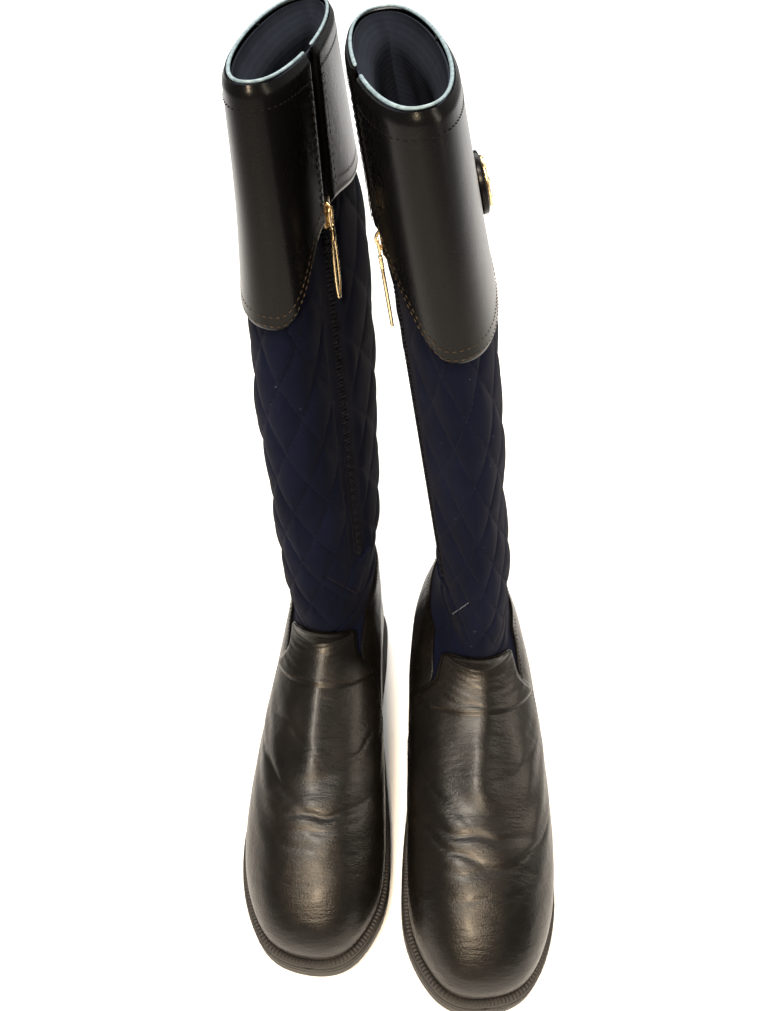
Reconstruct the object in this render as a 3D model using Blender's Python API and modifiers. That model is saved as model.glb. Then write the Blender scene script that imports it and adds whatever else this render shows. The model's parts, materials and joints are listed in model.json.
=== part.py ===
"""A pair of knee-high riding boots: rubber sole, leather foot, quilted shaft, leather cuff and inside zip.

Each boot is worked out in its own frame: +X is its outer side, the toe points along -Y and the ground is
z = 0. The right boot is the left one mirrored. A point of the upper is found by two numbers: `u` runs once
round the boot from the front (0) by the outer side (0.25) and the heel (0.5) to the inner side (0.75), and
`v` climbs from the sole (0) to the ankle (1) and on up the shaft, 1 more for every SHAFT_STEP of height.
"""

import math

import bmesh
import bpy
import numpy as np
from mathutils import Matrix, Vector

MM = 0.001
GAP = 0.3 * MM

# Driving sizes
ANKLE_Z = 126 * MM
RIM_Z = 460 * MM
SHAFT_STEP = 100 * MM
TREAD_Z = 24 * MM
HEEL_LIFT = 8 * MM
TOE_SPRING = 4 * MM

# Feather line of the left boot, from the toe round the outer side to the heel and back, x and y
FEATHER = MM * np.array([
    (-10, -198), (15, -191), (34, -163), (42, -125), (39, -78), (31, -30), (30, 20), (24, 58),
    (2, 74), (-20, 58), (-26, 20), (-28, -30), (-37, -78), (-45, -125), (-46, -163), (-32, -191),
])

# Stations of each shaft: height, front, back, half width, middle x, shift of y, and twist in thousandths
SHAFT = {
    "left": MM * np.array([
        (126, -38, 62, 29, 4, 0, 0),
        (145, -39, 61, 22, 4, 0, 0),
        (165, -40, 62, 19, 3, 0, 0),
        (200, -42, 70, 18, 1, 0, -40),
        (250, -43, 84, 17, -5, 0, -80),
        (300, -44, 94, 18, -13, -1, -60),
        (360, -45, 103, 20, -27, -2, -30),
        (410, -46, 109, 18, -40, -4, 0),
        (460, -46, 112, 15.5, -51, -5, 0),
    ]),
    "right": MM * np.array([
        (126, -38, 62, 28, 4, 0, 60),
        (145, -39, 61, 27, 4, 0, 80),
        (165, -40, 62, 27, 4, 0, 95),
        (200, -42, 70, 27, 5, 0, 100),
        (250, -43, 84, 26, 6, 0, 90),
        (300, -44, 94, 26, 8, 0, 60),
        (360, -45, 103, 23, 9, 0, 20),
        (410, -46, 109, 17, 12, 0, -30),
        (460, -46, 112, 12.5, 15, 0, -60),
    ]),
}

# How each boot stands: 1 or -1 for its side, its place on the ground and its turn about Z
STAND = {
    "left": (1, 47.9 * MM, 33.3 * MM, 0.06),
    "right": (-1, -40.6 * MM, 53.3 * MM, -0.12),
}

# Layers of the upper, each from its inner to its outer face, as distances out from the lasted surface
LINING = (-4.6 * MM, -3.6 * MM)
STIFFENER = (-2.0 * MM, -1.0 * MM)
LEATHER = (1.0 * MM, 2.4 * MM)
COLLAR = (3.4 * MM, 4.6 * MM)
QUILT = (0.0 * MM, 3.0 * MM)
CUFF = (4.2 * MM, 5.6 * MM)
COLUMNS = 24

# Zip, on the inner side towards the front
ZIP_U = 0.82
ZIP_LOW_Z = 188 * MM
ZIP_SLOT = 11 * MM
TEETH_GAP = 1.6 * MM
TEETH_WIDTH = 2.2 * MM
TEETH_PITCH = 16 * MM
SLIDER_Z = 400 * MM
PULL_LENGTH = 40 * MM

# Leather cuff: lowest edge of its front panel and of its rear panel, and where they meet
CUFF_FRONT_Z = 368 * MM
CUFF_BACK_Z = 396 * MM
CUFF_SEAM_U = 0.29

MEDALLION_U = 0.25
MEDALLION_Z = 407 * MM
MEDALLION_R = 11 * MM

ANKLE_PIVOT = np.array([0.0, 12 * MM, ANKLE_Z])

COLOURS = {
    "black_leather": ((0.018, 0.016, 0.014), 0.38, 0.0),
    "cuff_leather": ((0.012, 0.012, 0.012), 0.28, 0.0),
    "navy_quilt": ((0.010, 0.014, 0.045), 0.9, 0.0),
    "navy_fabric": ((0.010, 0.016, 0.042), 0.9, 0.0),
    "lining": ((0.02, 0.03, 0.05), 0.8, 0.0),
    "rubber": ((0.02, 0.017, 0.014), 0.7, 0.0),
    "board": ((0.42, 0.33, 0.22), 0.8, 0.0),
    "cork": ((0.38, 0.24, 0.12), 0.9, 0.0),
    "steel": ((0.55, 0.55, 0.56), 0.35, 1.0),
    "gold": ((0.72, 0.53, 0.26), 0.25, 1.0),
    "edge": ((0.35, 0.42, 0.45), 0.5, 0.0),
    "zip_tape": ((0.015, 0.018, 0.03), 0.85, 0.0),
    "zip_teeth": ((0.02, 0.02, 0.024), 0.6, 0.0),
}


def clear_scene():
    for item in list(bpy.data.objects):
        bpy.data.objects.remove(item)


def ease(value):
    """0 below 0, 1 above 1, and a smooth step between."""
    t = np.clip(value, 0.0, 1.0)
    return t * t * (3 - 2 * t)


def through(stations, values, at):
    """A smooth curve through (station, value) points, read at `at`; it goes straight on past its ends."""
    slopes = np.gradient(values, stations)
    at = np.asarray(at, float)
    i = np.clip(np.searchsorted(stations, at) - 1, 0, len(stations) - 2)
    step = stations[i + 1] - stations[i]
    t = np.clip((at - stations[i]) / step, 0.0, 1.0)
    beyond = at - stations[i] - t * step
    end_slope = np.where(t > 0.5, slopes[i + 1], slopes[i])
    return (
        (2 * t**3 - 3 * t**2 + 1) * values[i] + (t**3 - 2 * t**2 + t) * step * slopes[i]
        + (3 * t**2 - 2 * t**3) * values[i + 1] + (t**3 - t**2) * step * slopes[i + 1]
        + beyond * end_slope
    )


def feather(u):
    """Point of the feather line, x and y, on a closed Catmull-Rom curve."""
    count = len(FEATHER)
    along = (np.asarray(u, float) % 1.0) * count
    i = np.floor(along).astype(int)
    t = (along - i)[..., None]
    before, here, after, beyond = (FEATHER[(i + k) % count] for k in (-1, 0, 1, 2))
    return 0.5 * (
        2 * here + (after - before) * t + (2 * before - 5 * here + 4 * after - beyond) * t**2
        + (3 * here - before - 3 * after + beyond) * t**3
    )


def feather_outward(u):
    """Unit outward direction of the feather line in plan."""
    step = 1e-3
    tangent = feather(np.asarray(u) + step) - feather(np.asarray(u) - step)
    outward = np.stack([-tangent[..., 1], tangent[..., 0]], -1)
    return -outward / np.linalg.norm(outward, axis=-1, keepdims=True) * WINDING


def seat_z(y):
    """Height of the feather line: flat under the ball, up to the heel seat, with a little toe spring."""
    return (
        TREAD_Z + HEEL_LIFT * ease((y + 0.085) / 0.120)
        + TOE_SPRING * np.clip((-0.140 - y) / 0.058, 0, 1.3) ** 2
    )


class Boot:
    """The surface of one boot, and the empties that its pieces hang from."""

    def __init__(self, name):
        self.name = name
        self.side, x, y, turn = STAND[name]
        self.stand = add_empty(f"{name}_boot", (x, y, 0))
        self.stand.rotation_euler[2] = turn
        self.ankle = add_empty(f"{name}_ankle_pivot", self.mirrored(ANKLE_PIVOT)[0], self.stand)
        self.zip_ends = self.plain_shaft(np.array([ZIP_U, ZIP_U]), np.array([ZIP_LOW_Z - 0.03, RIM_Z]))

    def mirrored(self, points):
        """Points of the boot's frame, on the other side of its middle for the right boot."""
        return np.asarray(points, float).reshape(-1, 3) * (self.side, 1, 1)

    def plain_shaft(self, u, z):
        heights, *columns = SHAFT[self.name].T
        front, back, half, middle_x, shift_y, twist = (through(heights, c, z) for c in columns)
        angle = 2 * math.pi * u
        x, y = half * np.sin(angle), (front - back) / 2 * np.cos(angle)
        return np.stack([
            x * np.cos(twist) - y * np.sin(twist) + middle_x,
            x * np.sin(twist) + y * np.cos(twist) + (front + back) / 2 + shift_y,
            z + 0 * angle,
        ], -1)

    def zip_line(self, z):
        """The straight line of the zip at a height."""
        low, high = self.zip_ends
        share = (np.asarray(z, float) - low[2]) / (high[2] - low[2])
        return low + (high - low) * share[..., None]

    def shaft(self, u, z):
        """The shaft, drawn in or out beside the zip so that the zip lies straight on it."""
        points = self.plain_shaft(u, z)
        pull = self.zip_line(z) - self.plain_shaft(np.full_like(u, ZIP_U), z)
        away = (np.asarray(u) - ZIP_U + 0.5) % 1.0 - 0.5
        weight = np.exp(-((away / 0.09) ** 2)) * ease((z - ZIP_LOW_Z + 0.06) / 0.04)
        return points + pull * weight[..., None]

    def foot(self, u, t):
        """The foot of the boot: an upright rib from the feather line to the ankle for each u."""
        plan, outward = feather(u), feather_outward(u)
        turn = np.cos(2 * math.pi * u)
        front, back = np.clip(turn, 0, 1) ** 1.3, np.clip(-turn, 0, 1)
        side = 1 - front - back
        start = np.concatenate([plan, seat_z(plan[..., 1])[..., None]], -1)
        end = self.shaft(u, np.full_like(u, ANKLE_Z))
        above = self.shaft(u, np.full_like(u, ANKLE_Z + 0.004))
        climb = (above - end) / 0.004
        first = start + np.concatenate([
            outward * ((9 * front + 2 * side + 5 * back) * MM)[..., None],
            ((44 * front + 30 * side + 30 * back) * MM)[..., None],
        ], -1)
        last = end - climb * ((34 * front + 38 * side + 34 * back) * MM)[..., None]
        last = last + np.stack([
            4 * MM * np.sin(2 * math.pi * u), (-22 * front - 16 * side + 3 * back) * MM, 0 * u,
        ], -1)
        t = t[..., None]
        return start * (1 - t) ** 3 + 3 * first * t * (1 - t) ** 2 + 3 * last * t**2 * (1 - t) + end * t**3

    def on_last(self, u, v):
        u, v = np.broadcast_arrays(np.asarray(u, float), np.asarray(v, float))
        low = self.foot(u, np.clip(v, 0, 1))
        high = self.shaft(u, ANKLE_Z + np.clip(v - 1, 0, None) * SHAFT_STEP)
        return np.where((v <= 1)[..., None], low, high)

    def skin(self, u, v, out=0.0):
        """Point of the upper at u and v, moved straight out from the surface."""
        u, v = np.broadcast_arrays(np.asarray(u, float), np.asarray(v, float))
        du, dv = 0.004, 0.05
        across = self.on_last(u + du, v) - self.on_last(u - du, v)
        up = self.on_last(u, v + dv) - self.on_last(u, np.maximum(v - dv, 0))
        normal = np.cross(across, up)
        normal /= np.linalg.norm(normal, axis=-1, keepdims=True)
        return self.on_last(u, v) + normal * out


def v_of(z):
    """The v of a height on the shaft."""
    return 1 + (np.asarray(z, float) - ANKLE_Z) / SHAFT_STEP


def winding_of_feather():
    """1 if the feather line's points run so that feather_outward points out, else -1."""
    x, y = FEATHER.T
    return 1.0 if np.sum(x * np.roll(y, -1) - y * np.roll(x, -1)) > 0 else -1.0


WINDING = winding_of_feather()


def finish_piece(made, finish):
    """Gives a piece its own material."""
    colour, roughness, metallic = COLOURS[finish]
    coat = bpy.data.materials.new(made.name)
    coat.use_nodes = True
    shader = coat.node_tree.nodes["Principled BSDF"]
    shader.inputs["Base Color"].default_value = (*colour, 1)
    shader.inputs["Roughness"].default_value = roughness
    shader.inputs["Metallic"].default_value = metallic
    made.data.materials.append(coat)


def add_empty(name, place, parent=None):
    made = bpy.data.objects.new(name, None)
    made.location = place
    made.parent = parent
    PAIR.objects.link(made)
    return made


def add_object(boot, piece, data, finish, parent, place=(0, 0, 0)):
    """Puts a piece of one boot under its parent empty."""
    made = bpy.data.objects.new(f"{boot.name}_{piece}", data)
    made.parent = parent
    made.location = place
    PAIR.objects.link(made)
    finish_piece(made, finish)
    return made


def add_mesh(boot, piece, points, faces, finish, on_shaft=False, closed=True):
    """A piece from points in the boot's frame; a closed one has its faces turned to point out."""
    points = boot.mirrored(points)
    if on_shaft:
        points = points - boot.mirrored(ANKLE_PIVOT)
    mesh = bpy.data.meshes.new(f"{boot.name}_{piece}")
    mesh.from_pydata(points.tolist(), [], faces if boot.side == 1 else [face[::-1] for face in faces])
    if closed:
        shape = bmesh.new()
        shape.from_mesh(mesh)
        bmesh.ops.recalc_face_normals(shape, faces=shape.faces)
        shape.to_mesh(mesh)
        shape.free()
    mesh.shade_smooth()
    mesh.set_sharp_from_angle(angle=math.radians(40))
    return add_object(boot, piece, mesh, finish, boot.ankle if on_shaft else boot.stand)


def loft(rows, closed_along=False):
    """Points and faces of a bar through closed sections: a ring of sections, or one with flat ends."""
    rows = np.asarray(rows, float)
    count, width = rows.shape[:2]
    faces = []
    for i in range(count if closed_along else count - 1):
        for j in range(width):
            k, after = (i + 1) % count, (j + 1) % width
            faces.append((i * width + j, i * width + after, k * width + after, k * width + j))
    if not closed_along:
        faces.append(tuple(range(width)))
        faces.append(tuple(range((count - 1) * width, count * width)))
    return rows.reshape(-1, 3), faces


def shell(boot, piece, u, v, layer, finish, on_shaft=False, ring=False, missing=()):
    """A piece of the upper: a surface through the grid u by v, given its thickness by Solidify."""
    rows, columns = u.shape
    faces = [
        (i * columns + j, i * columns + (j + 1) % columns,
         (i + 1) * columns + (j + 1) % columns, (i + 1) * columns + j)
        for i in range(rows - 1) for j in range(columns if ring else columns - 1)
        if (i, j) not in missing
    ]
    points = boot.skin(u, v, layer[1]).reshape(-1, 3)
    made = add_mesh(boot, piece, points, faces, finish, on_shaft, closed=False)
    thickness = made.modifiers.new("thickness", "SOLIDIFY")
    thickness.thickness = layer[1] - layer[0]
    thickness.offset = -1
    return made


def sole_plate(boot, piece, grow, low, high, finish, start=0.0, end=0.5, ribs=13, chamfer=0.0):
    """A slab of the sole's outline, from u = start to end on both sides, between two heights of y."""
    share = 0.5 - 0.5 * np.cos(np.linspace(0, math.pi, ribs))
    rows = []
    for u in start + (end - start) * share:
        sides = [feather(w) + feather_outward(w) * grow for w in (np.array(u), np.array(1 - u))]
        inset = [p - feather_outward(w) * chamfer for p, w in zip(sides, (np.array(u), np.array(1 - u)))]
        rows.append([
            (*inset[0], low(inset[0][1])), (*sides[0], low(sides[0][1]) + chamfer),
            (*sides[0], high(sides[0][1])), (*sides[1], high(sides[1][1])),
            (*sides[1], low(sides[1][1]) + chamfer), (*inset[1], low(inset[1][1])),
        ] if chamfer else [
            (*sides[0], low(sides[0][1])), (*sides[0], high(sides[0][1])),
            (*sides[1], high(sides[1][1])), (*sides[1], low(sides[1][1])),
        ])
    nearly = 0.0005
    if start == 0.0:
        rows[0] = [(p[0] + (nearly if k < len(rows[0]) / 2 else -nearly), p[1], p[2])
                   for k, p in enumerate(rows[0])]
    if end == 0.5:
        rows[-1] = [(p[0] + (nearly if k < len(rows[-1]) / 2 else -nearly), p[1], p[2])
                    for k, p in enumerate(rows[-1])]
    points, faces = loft(rows)
    return add_mesh(boot, piece, points, faces, finish)


def sole_pieces(boot):
    """Tread, heel, welt and the layers under the foot."""
    top = lambda drop: lambda y: seat_z(y) - drop * MM

    def outsole_low(y):
        arch = ease((y + 0.075) / 0.05) * (seat_z(y) - 0.0145)
        spring = TOE_SPRING * np.clip((-0.140 - y) / 0.058, 0, 1.3) ** 2
        return arch + spring

    heel_low, heel_split = 6 * MM, 0.355
    sole_plate(boot, "outsole", 7 * MM, outsole_low, top(6.3), "rubber", ribs=17, chamfer=1.5 * MM)
    sole_plate(boot, "heel_block", 6 * MM, lambda y: heel_low + GAP + 0 * y,
               lambda y: outsole_low(y) - GAP, "rubber", start=heel_split, ribs=8)
    sole_plate(boot, "heel_top_piece", 6 * MM, lambda y: 0 * y, lambda y: heel_low + 0 * y,
               "rubber", start=heel_split, ribs=8, chamfer=1 * MM)
    sole_plate(boot, "cork_filler", -8 * MM, top(5.7), top(4.3), "cork", end=0.215, ribs=7)
    sole_plate(boot, "insole_board", -4.2 * MM, top(4.0), top(1.2), "board", ribs=13)
    sole_plate(boot, "footbed", -6.4 * MM, top(0.9), top(-2.6), "lining", ribs=13)
    shank(boot)
    around = np.linspace(0, 1, 45)[:-1]
    rows = []
    for u in around:
        inner = feather(u) - feather_outward(u) * 1.5 * MM
        outer = feather(u) + feather_outward(u) * 6 * MM
        rows.append([
            (*inner, seat_z(inner[1]) - 5.7 * MM), (*outer, seat_z(outer[1]) - 5.7 * MM),
            (*outer, seat_z(outer[1]) - 1.5 * MM), (*inner, seat_z(inner[1]) - GAP),
        ])
    points, faces = loft(rows, closed_along=True)
    add_mesh(boot, "welt", points, faces, "rubber")


def shank(boot):
    """The steel strip that stiffens the waist."""
    half, thick = 8 * MM, 1.0 * MM
    rows = []
    for y in np.linspace(-0.056, 0.048, 9):
        low = seat_z(y) - 5.7 * MM
        rows.append([(-half, y, low), (half, y, low), (half, y, low + thick), (-half, y, low + thick)])
    points, faces = loft(rows)
    add_mesh(boot, "shank", points, faces, "steel")


def seam_u(v):
    """How far round the vamp reaches on each side: wide at the sole, narrow at its tab."""
    return 0.305 - 0.115 * ease(v / 0.72) - 0.02 * ease((v - 0.72) / 0.28)


def quarter_top(u):
    """v of the quarter's top edge: low at the side notches, high behind the heel."""
    back = 1 - np.abs(np.asarray(u) - 0.5) / 0.3
    return 0.74 + 0.40 * ease(back * 1.15)


def quilt_low(u):
    """v of the quilted shaft's lower edge: high in front, swept down to the sides."""
    turn = np.cos(2 * math.pi * np.asarray(u))
    return v_of(ANKLE_Z + (26 + 24 * np.clip(turn, 0, 1) ** 0.8 + 8 * np.clip(-turn, 0, 1)) * MM)


def grid(columns, rows):
    """Two tables of shares from 0 to 1: along the columns and up the rows."""
    return np.meshgrid(np.linspace(0, 1, columns), np.linspace(0, 1, rows))


def ring_columns():
    """u of the columns round the upper, closer together at its front and back folds."""
    even = np.linspace(0, 1, COLUMNS + 1)[:-1]
    return even - 0.03 * np.sin(4 * math.pi * even)


def foot_pieces(boot):
    """The leather of the foot, its stiffeners, its lining and the cloth at the ankle."""
    low, levels = 0.015, np.linspace(0, 1, 11)
    heights = np.maximum(levels, low)

    across, v = np.meshgrid(np.linspace(-1, 1, 17), heights)
    shell(boot, "vamp", across * seam_u(v), v, LEATHER, "black_leather")

    across, up = grid(9, 2)
    v = 0.80 + up * 0.19
    shell(boot, "vamp_collar", (across * 2 - 1) * (seam_u(v) - 0.01), v, COLLAR, "black_leather")

    across, up = grid(19, 7)
    v = low + up * (quarter_top(0.20 + across * 0.6) - low)
    start = seam_u(v) + 0.008
    shell(boot, "quarter", start + across * (1 - 2 * start), v, LEATHER, "black_leather")

    across, up = grid(13, 5)
    shell(boot, "toe_puff", (across * 2 - 1) * (0.17 - 0.03 * up), 0.03 + up * 0.33, STIFFENER, "board")
    across, up = grid(11, 5)
    shell(boot, "heel_stiffener", 0.36 + across * 0.28, 0.04 + up * 0.50, STIFFENER, "board")

    u, v = np.meshgrid(ring_columns(), levels[1:-1])
    shell(boot, "foot_lining", u, v, LINING, "lining", ring=True)

    u, above = np.meshgrid(ring_columns(), np.linspace(0, 1, 4))
    v = np.concatenate([levels[7:10, None] + 0 * u[:3], 1 + above * (quilt_low(u) - 1.03)])
    shell(boot, "ankle_gusset", ring_columns() + 0 * v, v, STIFFENER, "navy_fabric", ring=True)


def slot_edges(boot, z, width):
    """u of the two edges of a slot of that width round the zip line at a height."""
    step = 0.01
    ends = boot.plain_shaft(np.array([ZIP_U - step, ZIP_U + step]), np.array([z, z]))
    half = width / 2 * 2 * step / np.linalg.norm(ends[1] - ends[0])
    return ZIP_U - half, ZIP_U + half


def slotted_tube(boot, piece, low_v, layer, finish, rows_above):
    """A tube of the shaft from low_v(u) up to the rim, with a slot for the zip."""
    top_z, below = RIM_Z - 2.5 * MM, 3
    columns = ring_columns()
    columns = columns[np.abs(columns - ZIP_U) > 0.03]
    columns = np.sort(np.concatenate([columns, slot_edges(boot, ZIP_LOW_Z, ZIP_SLOT)]))
    first = int(np.searchsorted(columns, ZIP_U)) - 1
    slot_v, top_v = v_of(ZIP_LOW_Z), v_of(top_z)
    u, v = [], []
    for share in np.linspace(0, 1, below)[:-1]:
        u.append(columns)
        v.append(low_v(columns) + (slot_v - low_v(columns)) * share)
    for share in np.linspace(0, 1, rows_above):
        row = columns.copy()
        row[first:first + 2] = slot_edges(boot, ZIP_LOW_Z + (top_z - ZIP_LOW_Z) * share, ZIP_SLOT)
        u.append(row)
        v.append(np.full_like(row, slot_v + (top_v - slot_v) * share))
    missing = {(i, first) for i in range(below - 1, len(u) - 1)}
    shell(boot, piece, np.array(u), np.array(v), layer, finish, True, True, missing)


def front_cuff_low(share):
    """Height of the front panel's lower edge, share 0 at the zip and 1 at the outer seam."""
    return CUFF_FRONT_Z + (30 * ease((0.34 - share) / 0.30) + 24 * ease((share - 0.80) / 0.20)) * MM


def rear_cuff_low(share):
    """Height of the rear panel's lower edge, share 0 at the outer seam and 1 at the zip."""
    return CUFF_BACK_Z + 6 * MM * ease((share - 0.8) / 0.2)


def cuff_panel(boot, piece, low_of, rows):
    """A leather panel from its lower edge to the rim: the front one or the rear one."""
    top_z = RIM_Z - 1.5 * MM
    rear_edge, front_edge = slot_edges(boot, (CUFF_FRONT_Z + top_z) / 2, ZIP_SLOT + 1 * MM)
    start, end = front_edge, 1 + CUFF_SEAM_U
    if piece == "rear_cuff":
        start, end = CUFF_SEAM_U + 0.006, rear_edge
    columns = np.concatenate([ring_columns(), 1 + ring_columns()])
    columns = columns[(columns > start + 0.02) & (columns < end - 0.02)]
    columns = np.concatenate([[start], columns, [end]])
    low = low_of((columns - start) / (end - start))
    z = low + (top_z - low) * np.linspace(0, 1, rows)[:, None]
    u = columns + 0 * z
    for row in range(rows):
        rear_edge, front_edge = slot_edges(boot, z[row].mean(), ZIP_SLOT + 1 * MM)
        if piece == "rear_cuff":
            u[row, -1] = rear_edge
        else:
            u[row, 0] = front_edge
    shell(boot, piece, u, v_of(z), CUFF, "cuff_leather", True)


def tube(boot, piece, points, radius, finish):
    """A round cord with flat ends through points on the shaft."""
    curve = bpy.data.curves.new(f"{boot.name}_{piece}", "CURVE")
    curve.dimensions = "3D"
    curve.bevel_depth = radius
    curve.bevel_resolution = 1
    curve.use_fill_caps = True
    spline = curve.splines.new("POLY")
    spline.points.add(len(points) - 1)
    for knot, point in zip(spline.points, boot.mirrored(points) - boot.mirrored(ANKLE_PIVOT)):
        knot.co = (*point, 1)
    add_object(boot, piece, curve, finish, boot.ankle)


def cuff_pieces(boot):
    """The two leather panels at the top, and the rolled edge above them."""
    cuff_panel(boot, "front_cuff", front_cuff_low, 4)
    cuff_panel(boot, "rear_cuff", rear_cuff_low, 3)
    rear_edge, front_edge = slot_edges(boot, RIM_Z, ZIP_SLOT)
    around = np.linspace(front_edge, 1 + rear_edge, 26)
    rim = boot.skin(around, np.full_like(around, v_of(RIM_Z)), 1.6 * MM)
    tube(boot, "top_binding", rim + (0, 0, 1.6 * MM), 2.3 * MM, "edge")


class ZipTrack:
    """The straight line that the zip runs on: X across it, Y up it and Z out from the boot."""

    def __init__(self, boot):
        low, high = boot.mirrored(boot.zip_line(np.array([ZIP_LOW_Z, RIM_Z])))
        middle = np.full(2, (ZIP_LOW_Z + RIM_Z) / 2)
        beside = boot.mirrored(boot.shaft(np.array([ZIP_U - 0.01, ZIP_U + 0.01]), middle))
        self.length = np.linalg.norm(high - low)
        along = (high - low) / self.length
        across = (beside[1] - beside[0]) * boot.side
        across -= along * (across @ along)
        across /= np.linalg.norm(across)
        self.boot = boot
        self.empty = add_empty(f"{boot.name}_zip_track", (0, 0, 0), boot.ankle)
        turned = Matrix((across, along, np.cross(across, along))).transposed().to_4x4()
        self.empty.matrix_basis = Matrix.Translation(low - boot.mirrored(ANKLE_PIVOT)[0]) @ turned

    def flat(self, piece, outline, low, high, finish, at=0.0):
        """A flat piece: its outline in X and Y, and how far out its two faces are."""
        curve = bpy.data.curves.new(f"{self.boot.name}_{piece}", "CURVE")
        curve.dimensions = "2D"
        curve.fill_mode = "BOTH"
        curve.extrude = (high - low) / 2
        spline = curve.splines.new("POLY")
        spline.points.add(len(outline) - 1)
        for knot, (x, y) in zip(spline.points, outline):
            knot.co = (x, y, 0, 1)
        spline.use_cyclic_u = True
        add_object(self.boot, piece, curve, finish, self.empty, (0, at, (low + high) / 2))


def rectangle(low_x, high_x, low_y, high_y):
    return [(low_x, low_y), (high_x, low_y), (high_x, high_y), (low_x, high_y)]


def symmetric(half_outline):
    """An outline from its right half, bottom to top, as (half width, y)."""
    return half_outline + [(-x, y) for x, y in reversed(half_outline)]


def teeth_outline(front, length):
    """A row of teeth as one rack, on the front (1) or rear (-1) side of the zip."""
    tip, root = TEETH_GAP / 2, TEETH_GAP / 2 + TEETH_WIDTH
    notch = root - TEETH_WIDTH * 0.35
    start = 4.8 * MM
    outline = [(root, start)]
    count = int((length - start - 3 * MM) / TEETH_PITCH)
    for y in start + TEETH_PITCH * np.arange(count):
        outline += [(tip, y), (tip, y + TEETH_PITCH * 0.55)]
        outline += [(notch, y + TEETH_PITCH * 0.6), (notch, y + TEETH_PITCH * 0.95)]
    outline.append((root, start + TEETH_PITCH * (count - 0.05)))
    return [(front * x, y) for x, y in outline]


def zip_pieces(boot):
    """Tapes, teeth, stop, slider and pull."""
    track = ZipTrack(boot)
    edge = ZIP_SLOT / 2 - 0.7 * MM
    for name, front in (("front", boot.side), ("rear", -boot.side)):
        low_x, high_x = sorted((front * TEETH_GAP / 2, front * edge))
        tape = rectangle(low_x, high_x, 4.2 * MM, track.length - 3 * MM)
        track.flat(f"zip_tape_{name}", tape, 0.3 * MM, 0.9 * MM, "zip_tape")
        teeth = teeth_outline(front, track.length)
        track.flat(f"zip_teeth_{name}", teeth, 1.2 * MM, 2.6 * MM, "zip_teeth")
    stop = rectangle(-3 * MM, 3 * MM, 0.8 * MM, 3.6 * MM)
    track.flat("zip_bottom_stop", stop, 0.3 * MM, 2.6 * MM, "zip_teeth")

    at = track.length * (SLIDER_Z - ZIP_LOW_Z) / (RIM_Z - ZIP_LOW_Z)
    half = 4.3 * MM
    body = symmetric([(half * 0.6, -6 * MM), (half, -1 * MM), (half, 4 * MM), (half * 0.6, 6 * MM)])
    track.flat("zip_slider", body, 3.0 * MM, 4.8 * MM, "gold", at)
    hinge = at + 1 * MM
    pull = [(half * MM, -share * PULL_LENGTH) for half, share in (
        (2.2, 1), (3.2, 0.95), (2.6, 0.42), (1.3, 0.35), (1.3, 0.25), (2.2, 0.2), (2.2, 0.08), (1.4, 0))]
    track.flat("zip_pull", symmetric(pull), 5.2 * MM, 6.6 * MM, "gold", hinge)


def turned(boot, piece, finish, place, axis, profile):
    """A turned piece about an axis on the shaft: its profile, (radius, height), from the top down."""
    mesh = bpy.data.meshes.new(f"{boot.name}_{piece}")
    points = [(radius, 0, height) for radius, height in profile]
    mesh.from_pydata(points, [(i, i + 1) for i in range(len(points) - 1)], [])
    made = add_object(boot, piece, mesh, finish, boot.ankle, place)
    made.rotation_euler = Vector(axis).to_track_quat("Z", "Y").to_euler()
    spin = made.modifiers.new("turn", "SCREW")
    spin.steps = 16
    spin.render_steps = 16
    spin.use_merge_vertices = True
    spin.merge_threshold = 0.0001
    return made


def medallion_pieces(boot):
    """The round ornament on the outer side and the leather pad under it."""
    where = np.array([MEDALLION_U]), np.array([v_of(MEDALLION_Z)])
    on, off = (boot.mirrored(boot.skin(*where, out))[0] for out in (CUFF[1], CUFF[1] + 0.01))
    axis = (off - on) / np.linalg.norm(off - on)
    place = on - boot.mirrored(ANKLE_PIVOT)[0]
    clear = 0.9 * MM
    pad = [(0, 3.2), (12.5, 3.2), (13.6, 2.5), (13.6, 0.8), (12.5, 0), (0, 0)]
    turned(boot, "medallion_pad", "cuff_leather", place + axis * clear, axis,
           [(radius * MM, height * MM) for radius, height in pad])
    disc = [(0, 2.7), (0.36, 2.4), (0.75, 1.7), (0.87, 2.6), (1, 1.6), (1, 0.4), (0.82, 0), (0, 0)]
    turned(boot, "medallion", "gold", place + axis * (clear + 3.2 * MM + GAP), axis,
           [(share * MEDALLION_R, height * MM) for share, height in disc])


clear_scene()
PAIR = bpy.data.collections.new("riding_boots")
bpy.context.scene.collection.children.link(PAIR)
for side_name in STAND:
    left_or_right = Boot(side_name)
    sole_pieces(left_or_right)
    foot_pieces(left_or_right)
    slotted_tube(left_or_right, "quilted_shaft", quilt_low, QUILT, "navy_quilt", 8)
    slotted_tube(left_or_right, "shaft_lining", lambda u: quilt_low(u) + 0.05, LINING, "lining", 6)
    cuff_pieces(left_or_right)
    zip_pieces(left_or_right)
    medallion_pieces(left_or_right)
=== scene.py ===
"""Looks for a pair of riding boots: waxed leather feet, quilted navy shafts, glossy cuffs and zips."""

import json
import math

import bpy
import numpy as np
from mathutils import Matrix, Vector


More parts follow.
